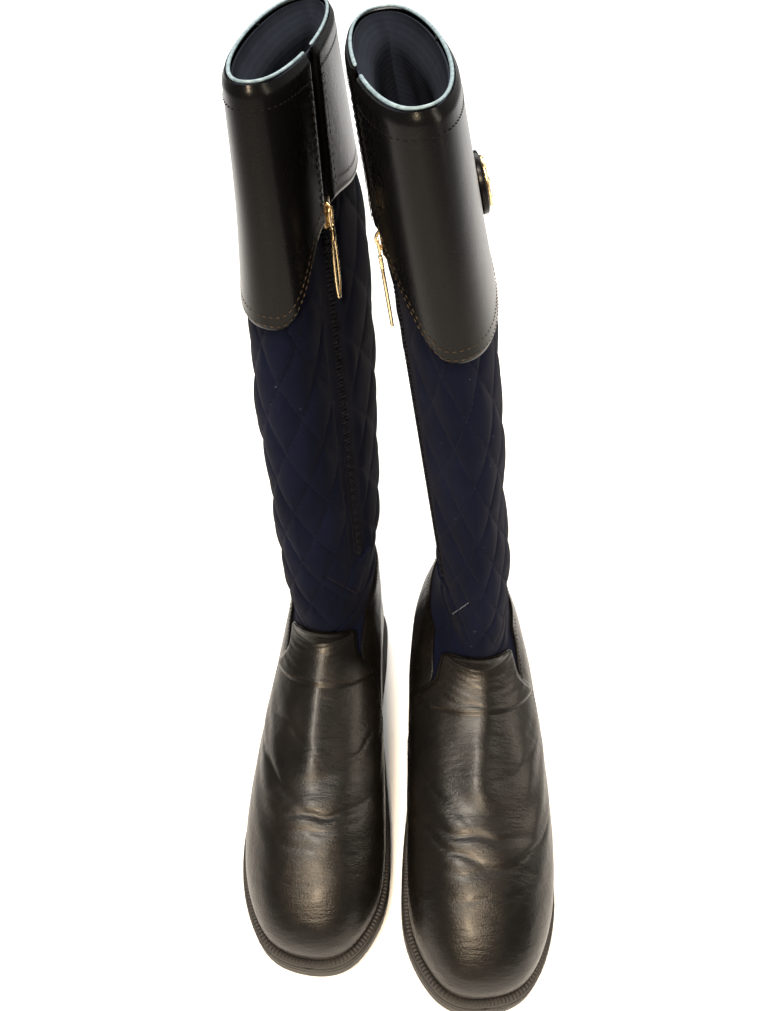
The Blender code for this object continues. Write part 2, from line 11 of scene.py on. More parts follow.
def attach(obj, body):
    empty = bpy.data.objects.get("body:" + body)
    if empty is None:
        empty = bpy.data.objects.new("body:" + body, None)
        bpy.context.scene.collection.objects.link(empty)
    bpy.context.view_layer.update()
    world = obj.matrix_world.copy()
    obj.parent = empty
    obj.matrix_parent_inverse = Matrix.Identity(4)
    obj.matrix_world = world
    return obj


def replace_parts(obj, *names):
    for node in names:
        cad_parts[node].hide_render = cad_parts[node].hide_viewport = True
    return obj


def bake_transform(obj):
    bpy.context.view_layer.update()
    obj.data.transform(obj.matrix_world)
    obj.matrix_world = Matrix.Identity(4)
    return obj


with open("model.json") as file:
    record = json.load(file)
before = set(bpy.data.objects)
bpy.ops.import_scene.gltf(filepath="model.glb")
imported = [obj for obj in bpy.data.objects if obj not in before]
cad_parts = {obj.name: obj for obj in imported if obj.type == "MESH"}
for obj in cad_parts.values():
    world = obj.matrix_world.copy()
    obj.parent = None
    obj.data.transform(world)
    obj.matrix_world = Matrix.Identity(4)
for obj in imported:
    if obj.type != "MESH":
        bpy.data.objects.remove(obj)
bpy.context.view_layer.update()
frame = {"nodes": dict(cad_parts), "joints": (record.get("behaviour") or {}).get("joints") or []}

MM = 0.001

# The same driving sizes as the model underneath
ANKLE_Z = 126 * MM
RIM_Z = 460 * MM
SHAFT_STEP = 100 * MM
TREAD_Z = 24 * MM
HEEL_LIFT = 8 * MM
TOE_SPRING = 4 * MM
ZIP_U = 0.82
ZIP_LOW_Z = 188 * MM
SLIDER_Z = 400 * MM
CUFF_FRONT_Z = 368 * MM
CUFF_BACK_Z = 396 * MM
CUFF_SEAM_U = 0.29
MEDALLION_U = 0.25
MEDALLION_Z = 407 * MM

# Length round the shaft on the quilting's pattern, the spacing of its diamonds, and the ends of its side seam
AROUND = 0.304
QUILT_ACROSS, QUILT_UP = AROUND / 10, 42 * MM
SEAM_BACK_U, SEAM_FRONT_U = 0.835, 0.945

# Width between the two edges of the cuff, where the zip runs, and how far its stitches stand from the shaft
OPENING = 12 * MM
CUFF_OUT = 5.75 * MM

# Rows of stitches: from one stitch to the next, and the thickness of the thread
FOOT_STITCH = (2.8 * MM, 0.28 * MM)
BAND_STITCH = (2.6 * MM, 0.25 * MM)
SHAFT_STITCH = (2.6 * MM, 0.22 * MM)
HEM_STITCH = (3.0 * MM, 0.26 * MM)
EDGE_STITCH = (3.0 * MM, 0.24 * MM)

# Thickness of the leather and of the thinner cloths
LEATHER_WALL, CLOTH_WALL = 1.4 * MM, 0.8 * MM

# Where the upper meets the sole of the left boot, as x and y, from the toe round by the outer side
FEATHER = MM * np.array([
    (-10, -198), (15, -191), (34, -163), (42, -125), (39, -78), (31, -30), (30, 20), (24, 58),
    (2, 74), (-20, 58), (-26, 20), (-28, -30), (-37, -78), (-45, -125), (-46, -163), (-32, -191),
])

# Sections up each shaft: height, y of the front and of the back, half width, middle x, how far the section
# is moved in y, and its turn in thousandths of a radian
SHAFT = {
    "left": MM * np.array([
        (126, -38, 62, 29, 4, 0, 0),
        (145, -39, 61, 22, 4, 0, 0),
        (165, -40, 62, 19, 3, 0, 0),
        (200, -42, 70, 18, 1, 0, -40),
        (250, -43, 84, 17, -5, 0, -80),
        (300, -44, 94, 18, -13, -1, -60),
        (360, -45, 103, 20, -27, -2, -30),
        (410, -46, 109, 18, -40, -4, 0),
        (460, -46, 112, 15.5, -51, -5, 0),
    ]),
    "right": MM * np.array([
        (126, -38, 62, 28, 4, 0, 60),
        (145, -39, 61, 27, 4, 0, 80),
        (165, -40, 62, 27, 4, 0, 95),
        (200, -42, 70, 27, 5, 0, 100),
        (250, -43, 84, 26, 6, 0, 90),
        (300, -44, 94, 26, 8, 0, 60),
        (360, -45, 103, 23, 9, 0, 20),
        (410, -46, 109, 17, 12, 0, -30),
        (460, -46, 112, 12.5, 15, 0, -60),
    ]),
}

# How each boot stands: 1 or -1 for its side, the x and y of its middle, and its turn in radians
STAND = {
    "left": (1, 47.9 * MM, 33.3 * MM, 0.06),
    "right": (-1, -40.6 * MM, 53.3 * MM, -0.12),
}


def ease(value):
    """0 below 0, 1 above 1, and a smooth step between."""
    t = np.clip(value, 0.0, 1.0)
    return t * t * (3 - 2 * t)


def hump(value, width):
    """1 at 0, falling off smoothly over a width."""
    return np.exp(-((value / width) ** 2))


def through(stations, values, at):
    """A smooth curve through (station, value) points, read at `at`; it goes straight on past its ends."""
    slopes = np.gradient(values, stations)
    at = np.asarray(at, float)
    i = np.clip(np.searchsorted(stations, at) - 1, 0, len(stations) - 2)
    step = stations[i + 1] - stations[i]
    t = np.clip((at - stations[i]) / step, 0.0, 1.0)
    beyond = at - stations[i] - t * step
    end_slope = np.where(t > 0.5, slopes[i + 1], slopes[i])
    return (
        (2 * t**3 - 3 * t**2 + 1) * values[i] + (t**3 - 2 * t**2 + t) * step * slopes[i]
        + (3 * t**2 - 2 * t**3) * values[i + 1] + (t**3 - t**2) * step * slopes[i + 1]
        + beyond * end_slope
    )


def feather(u):
    """Point of the feather line, x and y, on a closed Catmull-Rom curve."""
    count = len(FEATHER)
    along = (np.asarray(u, float) % 1.0) * count
    i = np.floor(along).astype(int)
    t = (along - i)[..., None]
    before, here, after, beyond = (FEATHER[(i + k) % count] for k in (-1, 0, 1, 2))
    return 0.5 * (
        2 * here + (after - before) * t + (2 * before - 5 * here + 4 * after - beyond) * t**2
        + (3 * here - before - 3 * after + beyond) * t**3
    )


def feather_outward(u):
    """Unit outward direction of the feather line in plan."""
    step = 1e-3
    tangent = feather(np.asarray(u) + step) - feather(np.asarray(u) - step)
    outward = np.stack([tangent[..., 1], -tangent[..., 0]], -1)
    return outward / np.linalg.norm(outward, axis=-1, keepdims=True)


def toe_spring(y):
    return TOE_SPRING * np.clip((-0.140 - y) / 0.058, 0, 1.3) ** 2


def seat_z(y):
    """Height of the feather line: flat under the ball, up to the heel seat, with a little toe spring."""
    return TREAD_Z + HEEL_LIFT * ease((y + 0.085) / 0.120) + toe_spring(y)


def v_of(z):
    """The v of a height on the shaft."""
    return 1 + (np.asarray(z, float) - ANKLE_Z) / SHAFT_STEP


def z_of(v):
    return ANKLE_Z + (np.asarray(v, float) - 1) * SHAFT_STEP


class Boot:
    """The surface of one boot. Its points are found by u, once round the boot from the front by the outer
    side, and v, up from the sole (0) to the ankle (1) and on up the shaft."""

    def __init__(self, name):
        self.name = name
        self.side, x, y, self.turn = STAND[name]
        self.origin = np.array([x, y, 0])
        self.zip_ends = self.plain_shaft(np.array([ZIP_U, ZIP_U]), np.array([ZIP_LOW_Z - 0.03, RIM_Z]))

    def world(self, points):
        points = np.asarray(points, float).reshape(-1, 3) * (self.side, 1, 1)
        c, s = math.cos(self.turn), math.sin(self.turn)
        return points @ np.array([(c, s, 0), (-s, c, 0), (0, 0, 1)]) + self.origin

    def plain_shaft(self, u, z):
        heights, *columns = SHAFT[self.name].T
        front, back, half, middle_x, shift_y, twist = (through(heights, c, z) for c in columns)
        angle = 2 * math.pi * u
        x, y = half * np.sin(angle), (front - back) / 2 * np.cos(angle)
        return np.stack([
            x * np.cos(twist) - y * np.sin(twist) + middle_x,
            x * np.sin(twist) + y * np.cos(twist) + (front + back) / 2 + shift_y,
            z + 0 * angle,
        ], -1)

    def zip_line(self, z):
        low, high = self.zip_ends
        share = (np.asarray(z, float) - low[2]) / (high[2] - low[2])
        return low + (high - low) * share[..., None]

    def shaft(self, u, z):
        """The shaft, drawn in or out beside the zip so that the zip lies straight on it."""
        points = self.plain_shaft(u, z)
        pull = self.zip_line(z) - self.plain_shaft(np.full_like(u, ZIP_U), z)
        away = (np.asarray(u) - ZIP_U + 0.5) % 1.0 - 0.5
        weight = np.exp(-((away / 0.09) ** 2)) * ease((z - ZIP_LOW_Z + 0.06) / 0.04)
        return points + pull * weight[..., None]

    def foot(self, u, t):
        """The foot: an upright rib from the feather line to the ankle for each u."""
        plan, outward = feather(u), feather_outward(u)
        turn = np.cos(2 * math.pi * u)
        front, back = np.clip(turn, 0, 1) ** 1.3, np.clip(-turn, 0, 1)
        side = 1 - front - back
        start = np.concatenate([plan, seat_z(plan[..., 1])[..., None]], -1)
        end = self.shaft(u, np.full_like(u, ANKLE_Z))
        above = self.shaft(u, np.full_like(u, ANKLE_Z + 0.004))
        climb = (above - end) / 0.004
        first = start + np.concatenate([
            outward * ((9 * front + 2 * side + 5 * back) * MM)[..., None],
            ((44 * front + 30 * side + 30 * back) * MM)[..., None],
        ], -1)
        last = end - climb * ((34 * front + 38 * side + 34 * back) * MM)[..., None]
        last = last + np.stack([
            4 * MM * np.sin(2 * math.pi * u), (-22 * front - 16 * side + 3 * back) * MM, 0 * u,
        ], -1)
        t = t[..., None]
        return start * (1 - t) ** 3 + 3 * first * t * (1 - t) ** 2 + 3 * last * t**2 * (1 - t) + end * t**3

    def on_last(self, u, v):
        low = self.foot(u, np.clip(v, 0, 1))
        high = self.shaft(u, ANKLE_Z + np.clip(v - 1, 0, None) * SHAFT_STEP)
        return np.where((v <= 1)[..., None], low, high)

    def skin(self, u, v, out=0.0):
        """Point of the upper at u and v in the boot's own frame, moved straight out from the surface."""
        u, v = np.broadcast_arrays(np.asarray(u, float), np.asarray(v, float))
        du, dv = 0.004, 0.05
        across = self.on_last(u + du, v) - self.on_last(u - du, v)
        up = self.on_last(u, v + dv) - self.on_last(u, np.maximum(v - dv, 0))
        normal = np.cross(across, up)
        normal /= np.linalg.norm(normal, axis=-1, keepdims=True)
        return self.on_last(u, v) + normal * np.broadcast_to(out, u.shape)[..., None]

    def slot_edges(self, z, width):
        """u of the two edges of a band of that width round the zip line at a height."""
        step = 0.01
        ends = self.plain_shaft(np.array([ZIP_U - step, ZIP_U + step]), np.array([z, z]))
        half = width / 2 * 2 * step / np.linalg.norm(ends[1] - ends[0])
        return ZIP_U - half, ZIP_U + half


# ---------------------------------------------------------------- making meshes


def deselect():
    bpy.ops.object.select_all(action="DESELECT")


def make_active(piece):
    deselect()
    piece.select_set(True)
    bpy.context.view_layer.objects.active = piece


def apply_modifiers(piece):
    make_active(piece)
    for modifier in list(piece.modifiers):
        bpy.ops.object.modifier_apply(modifier=modifier.name)


def edit(piece, *steps, faces=None):
    """Runs edit-mode operators on all of a piece, or on its faces that pass a test."""
    make_active(piece)
    bpy.ops.object.mode_set(mode="EDIT")
    bpy.ops.mesh.select_all(action="DESELECT" if faces else "SELECT")
    if faces:
        bpy.ops.object.mode_set(mode="OBJECT")
        for face in piece.data.polygons:
            face.select = faces(face)
        bpy.ops.object.mode_set(mode="EDIT")
    for step in steps:
        step()
    bpy.ops.object.mode_set(mode="OBJECT")


def merge_close():
    bpy.ops.mesh.remove_doubles(threshold=0.02 * MM)


def face_outwards():
    bpy.ops.mesh.normals_make_consistent(inside=False)


def close_holes():
    bpy.ops.mesh.select_all(action="DESELECT")
    bpy.ops.mesh.select_mode(type="EDGE")
    bpy.ops.mesh.select_non_manifold(extend=False, use_multi_face=False, use_wire=False)
    bpy.ops.mesh.edge_face_add()


def round_edges(piece, width, segments):
    rounding = piece.modifiers.new("rounding", "BEVEL")
    rounding.width = width
    rounding.segments = segments
    rounding.limit_method = "ANGLE"
    apply_modifiers(piece)


def settle(piece, turn):
    """Puts a piece modelled at the world's origin in its place, which is then kept in its mesh."""
    piece.data.transform(turn @ piece.matrix_world)
    piece.matrix_world = Matrix.Identity(4)
    return piece


def smooth(piece, angle=40):
    make_active(piece)
    bpy.ops.object.shade_smooth_by_angle(angle=math.radians(angle))


def panel(boot, name, columns, rows, place, chart, joined=False, thickness=0.0):
    """A sheet that starts as a grid and is laid on the boot.

    place takes the two shares of the grid, 0 to 1, and gives points in the boot's own frame; chart gives
    the same points' pattern coordinates, kept as the piece's UV map."""
    deselect()
    bpy.ops.mesh.primitive_grid_add(x_subdivisions=columns, y_subdivisions=rows, size=2)
    piece = bpy.context.object
    piece.name = f"{boot.name}_{name}"
    mesh = piece.data
    mesh.name = piece.name
    flat = np.empty(len(mesh.vertices) * 3)
    mesh.vertices.foreach_get("co", flat)
    s, t = (flat.reshape(-1, 3)[:, :2].T + 1) / 2
    mesh.vertices.foreach_set("co", boot.world(place(s, t)).ravel())
    loops = np.empty(len(mesh.loops), int)
    mesh.loops.foreach_get("vertex_index", loops)
    pattern = np.stack(chart(s, t), -1)[loops]
    mesh.uv_layers[0].data.foreach_set("uv", pattern.ravel())
    mesh.update()
    steps = []
    if boot.side < 0:
        steps.append(bpy.ops.mesh.flip_normals)
    if joined:
        steps.append(merge_close)
    if steps:
        edit(piece, *steps)
    if thickness:
        wall = piece.modifiers.new("wall", "SOLIDIFY")
        wall.thickness = thickness
        wall.offset = -1
        apply_modifiers(piece)
    smooth(piece)
    return piece


def from_parts(name, parts):
    """One object from lists of points and faces; what repeats is laid out here copy by copy."""
    mesh = bpy.data.meshes.new(name)
    points, faces, offset = [], [], 0
    for part_points, part_faces in parts:
        points.append(np.asarray(part_points))
        faces += [tuple(index + offset for index in face) for face in part_faces]
        offset += len(part_points)
    mesh.from_pydata(np.concatenate(points).tolist(), [], faces)
    piece = bpy.data.objects.new(name, mesh)
    bpy.context.scene.collection.objects.link(piece)
    smooth(piece, 50)
    return piece


def template(make):
    """Points and faces of a small shape that is made once with operators and then copied."""
    deselect()
    make()
    piece = bpy.context.object
    points = np.array([tuple(piece.matrix_world @ vertex.co) for vertex in piece.data.vertices])
    faces = [tuple(face.vertices) for face in piece.data.polygons]
    bpy.data.objects.remove(piece)
    return points, faces


def placed(shape, at, along, out, size):
    """The points of a template at a place, its X along a direction and its Z out, scaled by size."""
    along = along / np.linalg.norm(along)
    out = out - along * (out @ along)
    out = out / np.linalg.norm(out)
    basis = np.stack([along, np.cross(out, along), out])
    return (shape[0] * size) @ basis + at, shape[1]


def stitches(boot, name, u, v, out, stitch, body, finish):
    """A row of sewn stitches along a line of the boot, lying just proud of its surface."""
    pitch, thread = stitch
    path = boot.world(boot.skin(u, v, out))
    normals = boot.world(boot.skin(u, v, out + 2 * MM)) - path
    steps = np.linalg.norm(np.diff(path, axis=0), axis=1)
    reach = np.concatenate([[0], np.cumsum(steps)])
    count = max(2, int(reach[-1] / pitch))
    middles = (np.arange(count) + 0.5) * reach[-1] / count

    def along(values, distances):
        return np.stack([np.interp(distances, reach, values[:, k]) for k in range(3)], -1)

    at, ahead, outward = along(path, middles), along(path, middles + pitch / 4), along(normals, middles)
    size = np.array([pitch * 0.31, thread, thread * 0.8])
    parts = [placed(STITCH, a, b - a, n, size) for a, b, n in zip(at, ahead, outward)]
    return dress(from_parts(f"{boot.name}_{name}", parts), finish, body)


def bend_at_ankle(boot, piece):
    """Cloth that crosses the ankle has its place baked into its mesh; the ankle joint's height and two
    heights above it are worked out, but nothing bends.
    """
    x, y, z = next(j["pos_m"] for j in frame["joints"] if j["name"] == f"{boot.name}_ankle_lean")
    low, high = z + 4 * MM, z + 50 * MM
    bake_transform(piece)
    return piece


def dress(piece, finish, body=None):
    """Gives a piece its material, and its body if it has one."""
    piece.data.materials.clear()
    piece.data.materials.append(finish)
    if body:
        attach(piece, body)
    return piece


# ---------------------------------------------------------------- materials


class Value:
    """A socket of a material, so that shader maths can be written as sums."""

    def __init__(self, finish, socket):
        self.finish = finish
        self.socket = socket

    def maths(self, operation, *values):
        return self.finish.node("ShaderNodeMath", {"operation": operation}, dict(enumerate(values)))

    def __add__(self, other):
        return self.maths("ADD", self, other)

    def __radd__(self, other):
        return self.maths("ADD", other, self)

    def __sub__(self, other):
        return self.maths("SUBTRACT", self, other)

    def __rsub__(self, other):
        return self.maths("SUBTRACT", other, self)

    def __mul__(self, other):
        return self.maths("MULTIPLY", self, other)

    def __truediv__(self, other):
        return self.maths("DIVIDE", self, other)

    def sin(self):
        return self.maths("SINE", self)

    def size(self):
        return self.maths("ABSOLUTE", self)

    def fraction(self):
        return self.maths("FRACT", self)

    def step(self, low, high):
        """0 below low, 1 above high, smooth between."""
        settings = {"interpolation_type": "SMOOTHSTEP"}
        return self.finish.node("ShaderNodeMapRange", settings, {0: self, 1: low, 2: high})


class Finish:
    """A material being made round its Principled shader."""

    def __init__(self, name, roughness=0.5, metallic=0.0, **constants):
        self.material = bpy.data.materials.new(name)
        self.material.use_nodes = True
        self.tree = self.material.node_tree
        self.shader = self.tree.nodes["Principled BSDF"]
        self.set("Roughness", roughness)
        self.set("Metallic", metallic)
        for socket, value in constants.items():
            self.set(socket.replace("_", " "), value)

    def set(self, socket, value):
        target = self.shader.inputs[socket]
        if isinstance(value, Value):
            self.tree.links.new(value.socket, target)
        else:
            target.default_value = value

    def node(self, kind, settings=None, sockets=None, output=0):
        made = self.tree.nodes.new(kind)
        for key, value in (settings or {}).items():
            setattr(made, key, value)
        for key, value in (sockets or {}).items():
            target = made.inputs[key]
            if isinstance(value, Value):
                self.tree.links.new(value.socket, target)
            else:
                target.default_value = value
        return Value(self, made.outputs[output])

    def place(self):
        return self.node("ShaderNodeTexCoord", output="Object")

    def chart(self):
        """The two pattern coordinates of a piece, in metres."""
        uv = self.node("ShaderNodeTexCoord", output="UV")
        return (self.node("ShaderNodeSeparateXYZ", None, {0: uv}, output=k) for k in (0, 1))

    def stretched(self, scale):
        """Object coordinates stretched along the three directions."""
        return self.node("ShaderNodeMapping", None, {"Vector": self.place(), "Scale": scale})

    def noise(self, scale, detail=4.0, roughness=0.55, vector=None):
        sockets = {"Scale": scale, "Detail": detail, "Roughness": roughness, "Vector": vector or self.place()}
        return self.node("ShaderNodeTexNoise", None, sockets, output="Fac")

    def cells(self, scale):
        sockets = {"Scale": scale, "Vector": self.place()}
        return self.node("ShaderNodeTexVoronoi", None, sockets, output="Distance")

    def mix(self, share, low, high):
        """A colour between two, low and high being colours or values."""
        as_colour = [c if isinstance(c, Value) else (*c, 1) for c in (low, high)]
        sockets = {0: share, 6: as_colour[0], 7: as_colour[1]}
        return self.node("ShaderNodeMix", {"data_type": "RGBA"}, sockets, output=2)

    def bump(self, height, strength, distance, under=None):
        sockets = {"Height": height, "Strength": strength, "Distance": distance}
        if under:
            sockets["Normal"] = under
        return self.node("ShaderNodeBump", None, sockets)


def foot_leather():
    """Waxed leather, black with a brown cast, finely creased across the foot and worn in specks."""
    f = Finish("foot_leather", Specular_IOR_Level=0.27, Coat_Weight=0.05, Coat_Roughness=0.2)
    blotch = f.noise(22, 5)
    fine = f.noise(160, 6, 0.6)
    tone = f.mix(blotch.step(0.35, 0.7), (0.0020, 0.0016, 0.0012), (0.0056, 0.0042, 0.0030))
    worn = f.mix(fine.step(0.55, 0.8) * 0.3, tone, (0.018, 0.0135, 0.0095))
    f.set("Base Color", worn)
    f.set("Roughness", 0.24 + blotch * 0.12 + fine * 0.1)
    creases = f.noise(70, 7, 0.62, f.stretched((0.35, 1.6, 1.2)))
    grain = f.cells(1100)
    first = f.bump(grain, 0.25, 0.0003)
    f.set("Normal", f.bump(creases, 0.75, 0.0012, first))
    return f.material


def cuff_leather():
    """Smooth black leather with a soft gloss."""
    f = Finish("cuff_leather", Specular_IOR_Level=0.11)
    cloud = f.noise(14, 3)
    scuff = f.noise(260, 5, 0.7, f.stretched((1, 1, 0.3)))
    tone = f.mix(cloud, (0.0016, 0.0016, 0.0018), (0.0036, 0.0036, 0.0037))
    f.set("Base Color", f.mix(scuff.step(0.66, 0.8) * 0.25, tone, (0.03, 0.028, 0.026)))
    f.set("Roughness", 0.2 + cloud * 0.1 + scuff * 0.05)
    grain = f.cells(1300)
    f.set("Normal", f.bump(grain, 0.12, 0.0002, f.bump(f.noise(45, 3), 0.18, 0.001)))
    return f.material


def cloth(name, dark, light, quilt=None):
    """Fuzzy navy cloth, with specks of lint; quilt gives the two spacings of its crossed stitch lines."""
    f = Finish(name, roughness=0.9, Specular_IOR_Level=0.05, Sheen_Weight=0.01, Sheen_Roughness=0.5)
    cloud = f.noise(30, 5)
    fuzz = f.noise(900, 4, 0.7)
    tone = f.mix(cloud.step(0.3, 0.75), dark, light)
    tone = f.mix(fuzz.step(0.5, 0.85) * 0.4, tone, tuple(c * 1.7 for c in light))
    lint = f.noise(330, 2, 0.5).step(0.735, 0.76) * f.noise(60, 2).step(0.5, 0.6)
    tone = f.mix(lint * 0.3, tone, (0.12, 0.13, 0.17))
    height = fuzz * 0.5 + f.noise(2400, 2) * 0.5
    normal = f.bump(height, 0.45, 0.0004)
    if quilt:
        across, up = f.chart()
        stitch_up = 3.2 * MM
        for sign in (1, -1):
            lane = across / quilt[0] + up * (sign / quilt[1])
            line = ((lane + 0.5).fraction() - 0.5).size()
            dash = (up / stitch_up).fraction().step(0.3, 0.42)
            thread = (1 - line.step(0.006, 0.013)) * dash
            tone = f.mix(thread * 0.4, tone, (0.016, 0.018, 0.034))
    f.set("Base Color", tone)
    f.set("Normal", normal)
    return f.material


def lining_cloth():
    """Dark blue cloth in a fine plain weave."""
    f = Finish("shaft_lining_cloth", roughness=0.9, Specular_IOR_Level=0.08)
    across, up = f.chart()
    threads = 2600
    rib = ((across * threads).sin() * 0.5 + 0.5) * ((up * threads).sin() * 0.5 + 0.5)
    tone = f.mix(f.noise(40, 4), (0.0055, 0.0075, 0.014), (0.013, 0.017, 0.029))
    f.set("Base Color", f.mix(rib * 0.2, tone, (0.028, 0.034, 0.05)))
    f.set("Normal", f.bump(rib, 0.25, 0.0003, f.bump(f.noise(25, 3), 0.5, 0.004)))
    return f.material


def rubber():
    """Dark brown-black rubber, dusty in patches."""
    f = Finish("sole_rubber")
    dust = f.noise(55, 6, 0.65)
    speck = f.noise(700, 3, 0.6)
    tone = f.mix(dust.step(0.35, 0.75), (0.0075, 0.0062, 0.005), (0.024, 0.0195, 0.0155))
    f.set("Base Color", f.mix(speck.step(0.6, 0.8) * 0.4, tone, (0.075, 0.066, 0.055)))
    f.set("Roughness", 0.5 + dust * 0.3)
    f.set("Normal", f.bump(speck, 0.35, 0.0004, f.bump(dust, 0.25, 0.001)))
    return f.material


def gold():
    """Pale gold plating, a little rubbed."""
    f = Finish("pale_gold", metallic=1.0)
    wear = f.noise(420, 4, 0.6)
    f.set("Base Color", f.mix(wear.step(0.4, 0.75), (0.70, 0.53, 0.29), (0.86, 0.69, 0.42)))
    f.set("Roughness", 0.18 + wear * 0.2)
    f.set("Normal", f.bump(wear, 0.1, 0.0002))
    return f.material


def steel():
    f = Finish("shank_steel", metallic=1.0)
    grain = f.noise(180, 4, 0.6, f.stretched((1, 0.05, 1)))
    f.set("Base Color", f.mix(grain, (0.42, 0.42, 0.43), (0.6, 0.6, 0.61)))
    f.set("Roughness", 0.3 + grain * 0.2)
    return f.material


def mottled(name, dark, light, scale, roughness=0.7, height=0.3, **constants):
    """A plain material with speckled colour and a fine bump."""
    f = Finish(name, roughness=roughness, **constants)
    speck = f.noise(scale, 5, 0.65)
    f.set("Base Color", f.mix(speck.step(0.3, 0.7), dark, light))
    f.set("Normal", f.bump(speck, height, 0.0004))
    return f.material


def zip_cloth():
    """Dark woven tape with ribs across it."""
    f = Finish("zip_tape_weave", roughness=0.8, Specular_IOR_Level=0.12)
    height = f.node("ShaderNodeSeparateXYZ", None, {0: f.place()}, output=2)
    twill = (height * 3800).sin() * 0.5 + 0.5
    f.set("Base Color", f.mix(twill, (0.0025, 0.003, 0.006), (0.008, 0.009, 0.014)))
    f.set("Normal", f.bump(twill, 0.3, 0.0003))
    return f.material


LEATHER = foot_leather()
CUFF = cuff_leather()
QUILT = cloth("quilted_navy", (0.0019, 0.0028, 0.0095), (0.0036, 0.0050, 0.0155), (QUILT_ACROSS, QUILT_UP))
NAVY = cloth("plain_navy", (0.0019, 0.0028, 0.0095), (0.0038, 0.0052, 0.0160))
LINING = lining_cloth()
RUBBER = rubber()
GOLD = gold()
EDGE = mottled("pale_rolled_edge", (0.10, 0.155, 0.185), (0.21, 0.29, 0.33), 300, 0.5)
TAPE = zip_cloth()
BROWN_THREAD = mottled(
    "brown_thread", (0.026, 0.018, 0.011), (0.06, 0.043, 0.028), 900, Specular_IOR_Level=0.1)
PALE_THREAD = mottled("pale_thread", (0.22, 0.26, 0.29), (0.36, 0.40, 0.43), 900)
BLACK_THREAD = mottled(
    "black_thread", (0.003, 0.003, 0.003), (0.009, 0.0085, 0.008), 900, Specular_IOR_Level=0.08)

# Finishes of the pieces that keep the solid shape underneath
INSIDE = {
    "cork_filler": mottled("ground_cork", (0.25, 0.15, 0.07), (0.46, 0.32, 0.18), 260, 0.9),
    "insole_board": mottled("fibre_board", (0.30, 0.23, 0.15), (0.45, 0.37, 0.26), 400, 0.85),
    "footbed": mottled("footbed_leather", (0.13, 0.11, 0.085), (0.22, 0.19, 0.15), 200, 0.6),
    "shank": steel(),
    "toe_puff": mottled("toe_stiffener", (0.38, 0.33, 0.25), (0.52, 0.46, 0.36), 300, 0.85),
    "heel_stiffener": mottled("heel_stiffener_board", (0.36, 0.31, 0.23), (0.50, 0.44, 0.34), 300, 0.85),
    "foot_lining": mottled("foot_lining_cloth", (0.012, 0.015, 0.023), (0.03, 0.036, 0.05), 800, 0.9),
}


def small_stitch():
    bpy.ops.mesh.primitive_uv_sphere_add(segments=8, ring_count=5, radius=1)


STITCH = template(small_stitch)


# ---------------------------------------------------------------- sole


def outsole_low(y):
    """Height of the outsole's underside: flat, with an arch under the waist and a little toe spring."""
    return ease((y + 0.075) / 0.05) * (seat_z(y) - 14.5 * MM) + toe_spring(y)


def distance_round(u):
    """Distance along the feather line from the toe to u, in metres."""
    fine = np.linspace(0, 1, 801)
    steps = np.linalg.norm(np.diff(feather(fine), axis=0), axis=1)
    return np.interp(u, fine, np.concatenate([[0], np.cumsum(steps)]))


def slab(boot, name, grow, low, high, rim, start=0.0, columns=480, tread=None):
    """A closed slab of the sole's outline: its bottom, its side and its top in one turn of t.

    rim gives the side's profile, (how far in, share of the height), from the bottom edge to the top."""
    insets, climbs = np.array(rim).T
    bottom_end, side_end = 0.34, 0.8
    side = np.linspace(bottom_end, side_end, len(rim))
    stops = np.concatenate([np.linspace(0, bottom_end, 10)[:-1], side, np.linspace(side_end, 1, 5)[1:]])

    def place(s, t):
        u = start + (1 - 2 * start) * s
        row = np.interp(t, np.linspace(0, 1, len(stops)), stops)
        plan, outward = feather(u), feather_outward(u)
        other = feather(1 - u) + feather_outward(1 - u) * grow
        edge = plan + outward * (grow - np.interp(row, side, insets))[:, None]
        centre = (plan + outward * grow + other) / 2
        on_bottom, on_top = np.clip(row / bottom_end, 0, 1), np.clip((1 - row) / (1 - side_end), 0, 1)
        reach = np.minimum(on_bottom, on_top)
        flat = centre + (edge - centre) * reach[:, None]
        bottom, top = low(flat[:, 1]), high(flat[:, 1])
        z = bottom + (top - bottom) * np.interp(row, side, climbs)
        if tread is not None:
            z = z + tread(flat, row, reach)
        return np.column_stack([flat, z])

    piece = panel(boot, name, columns, len(stops) - 1, place, lambda s, t: (s, t), joined=True)
    if start:
        edit(piece, close_holes)
    edit(piece, merge_close, face_outwards)
    smooth(piece, 35)
    return piece


def cleats(flat, row, reach):
    """How deep the grooves between the cross bars of the tread are, under the front of the foot."""
    pitch, depth = 11 * MM, 1.6 * MM
    bars = ease((np.abs((flat[:, 1] / pitch) % 1 - 0.5) - 0.22) / 0.08)
    under = (row < 0.33) & (reach < 0.93) & (flat[:, 1] < -0.075)
    return np.where(under, depth * (1 - bars), 0.0)


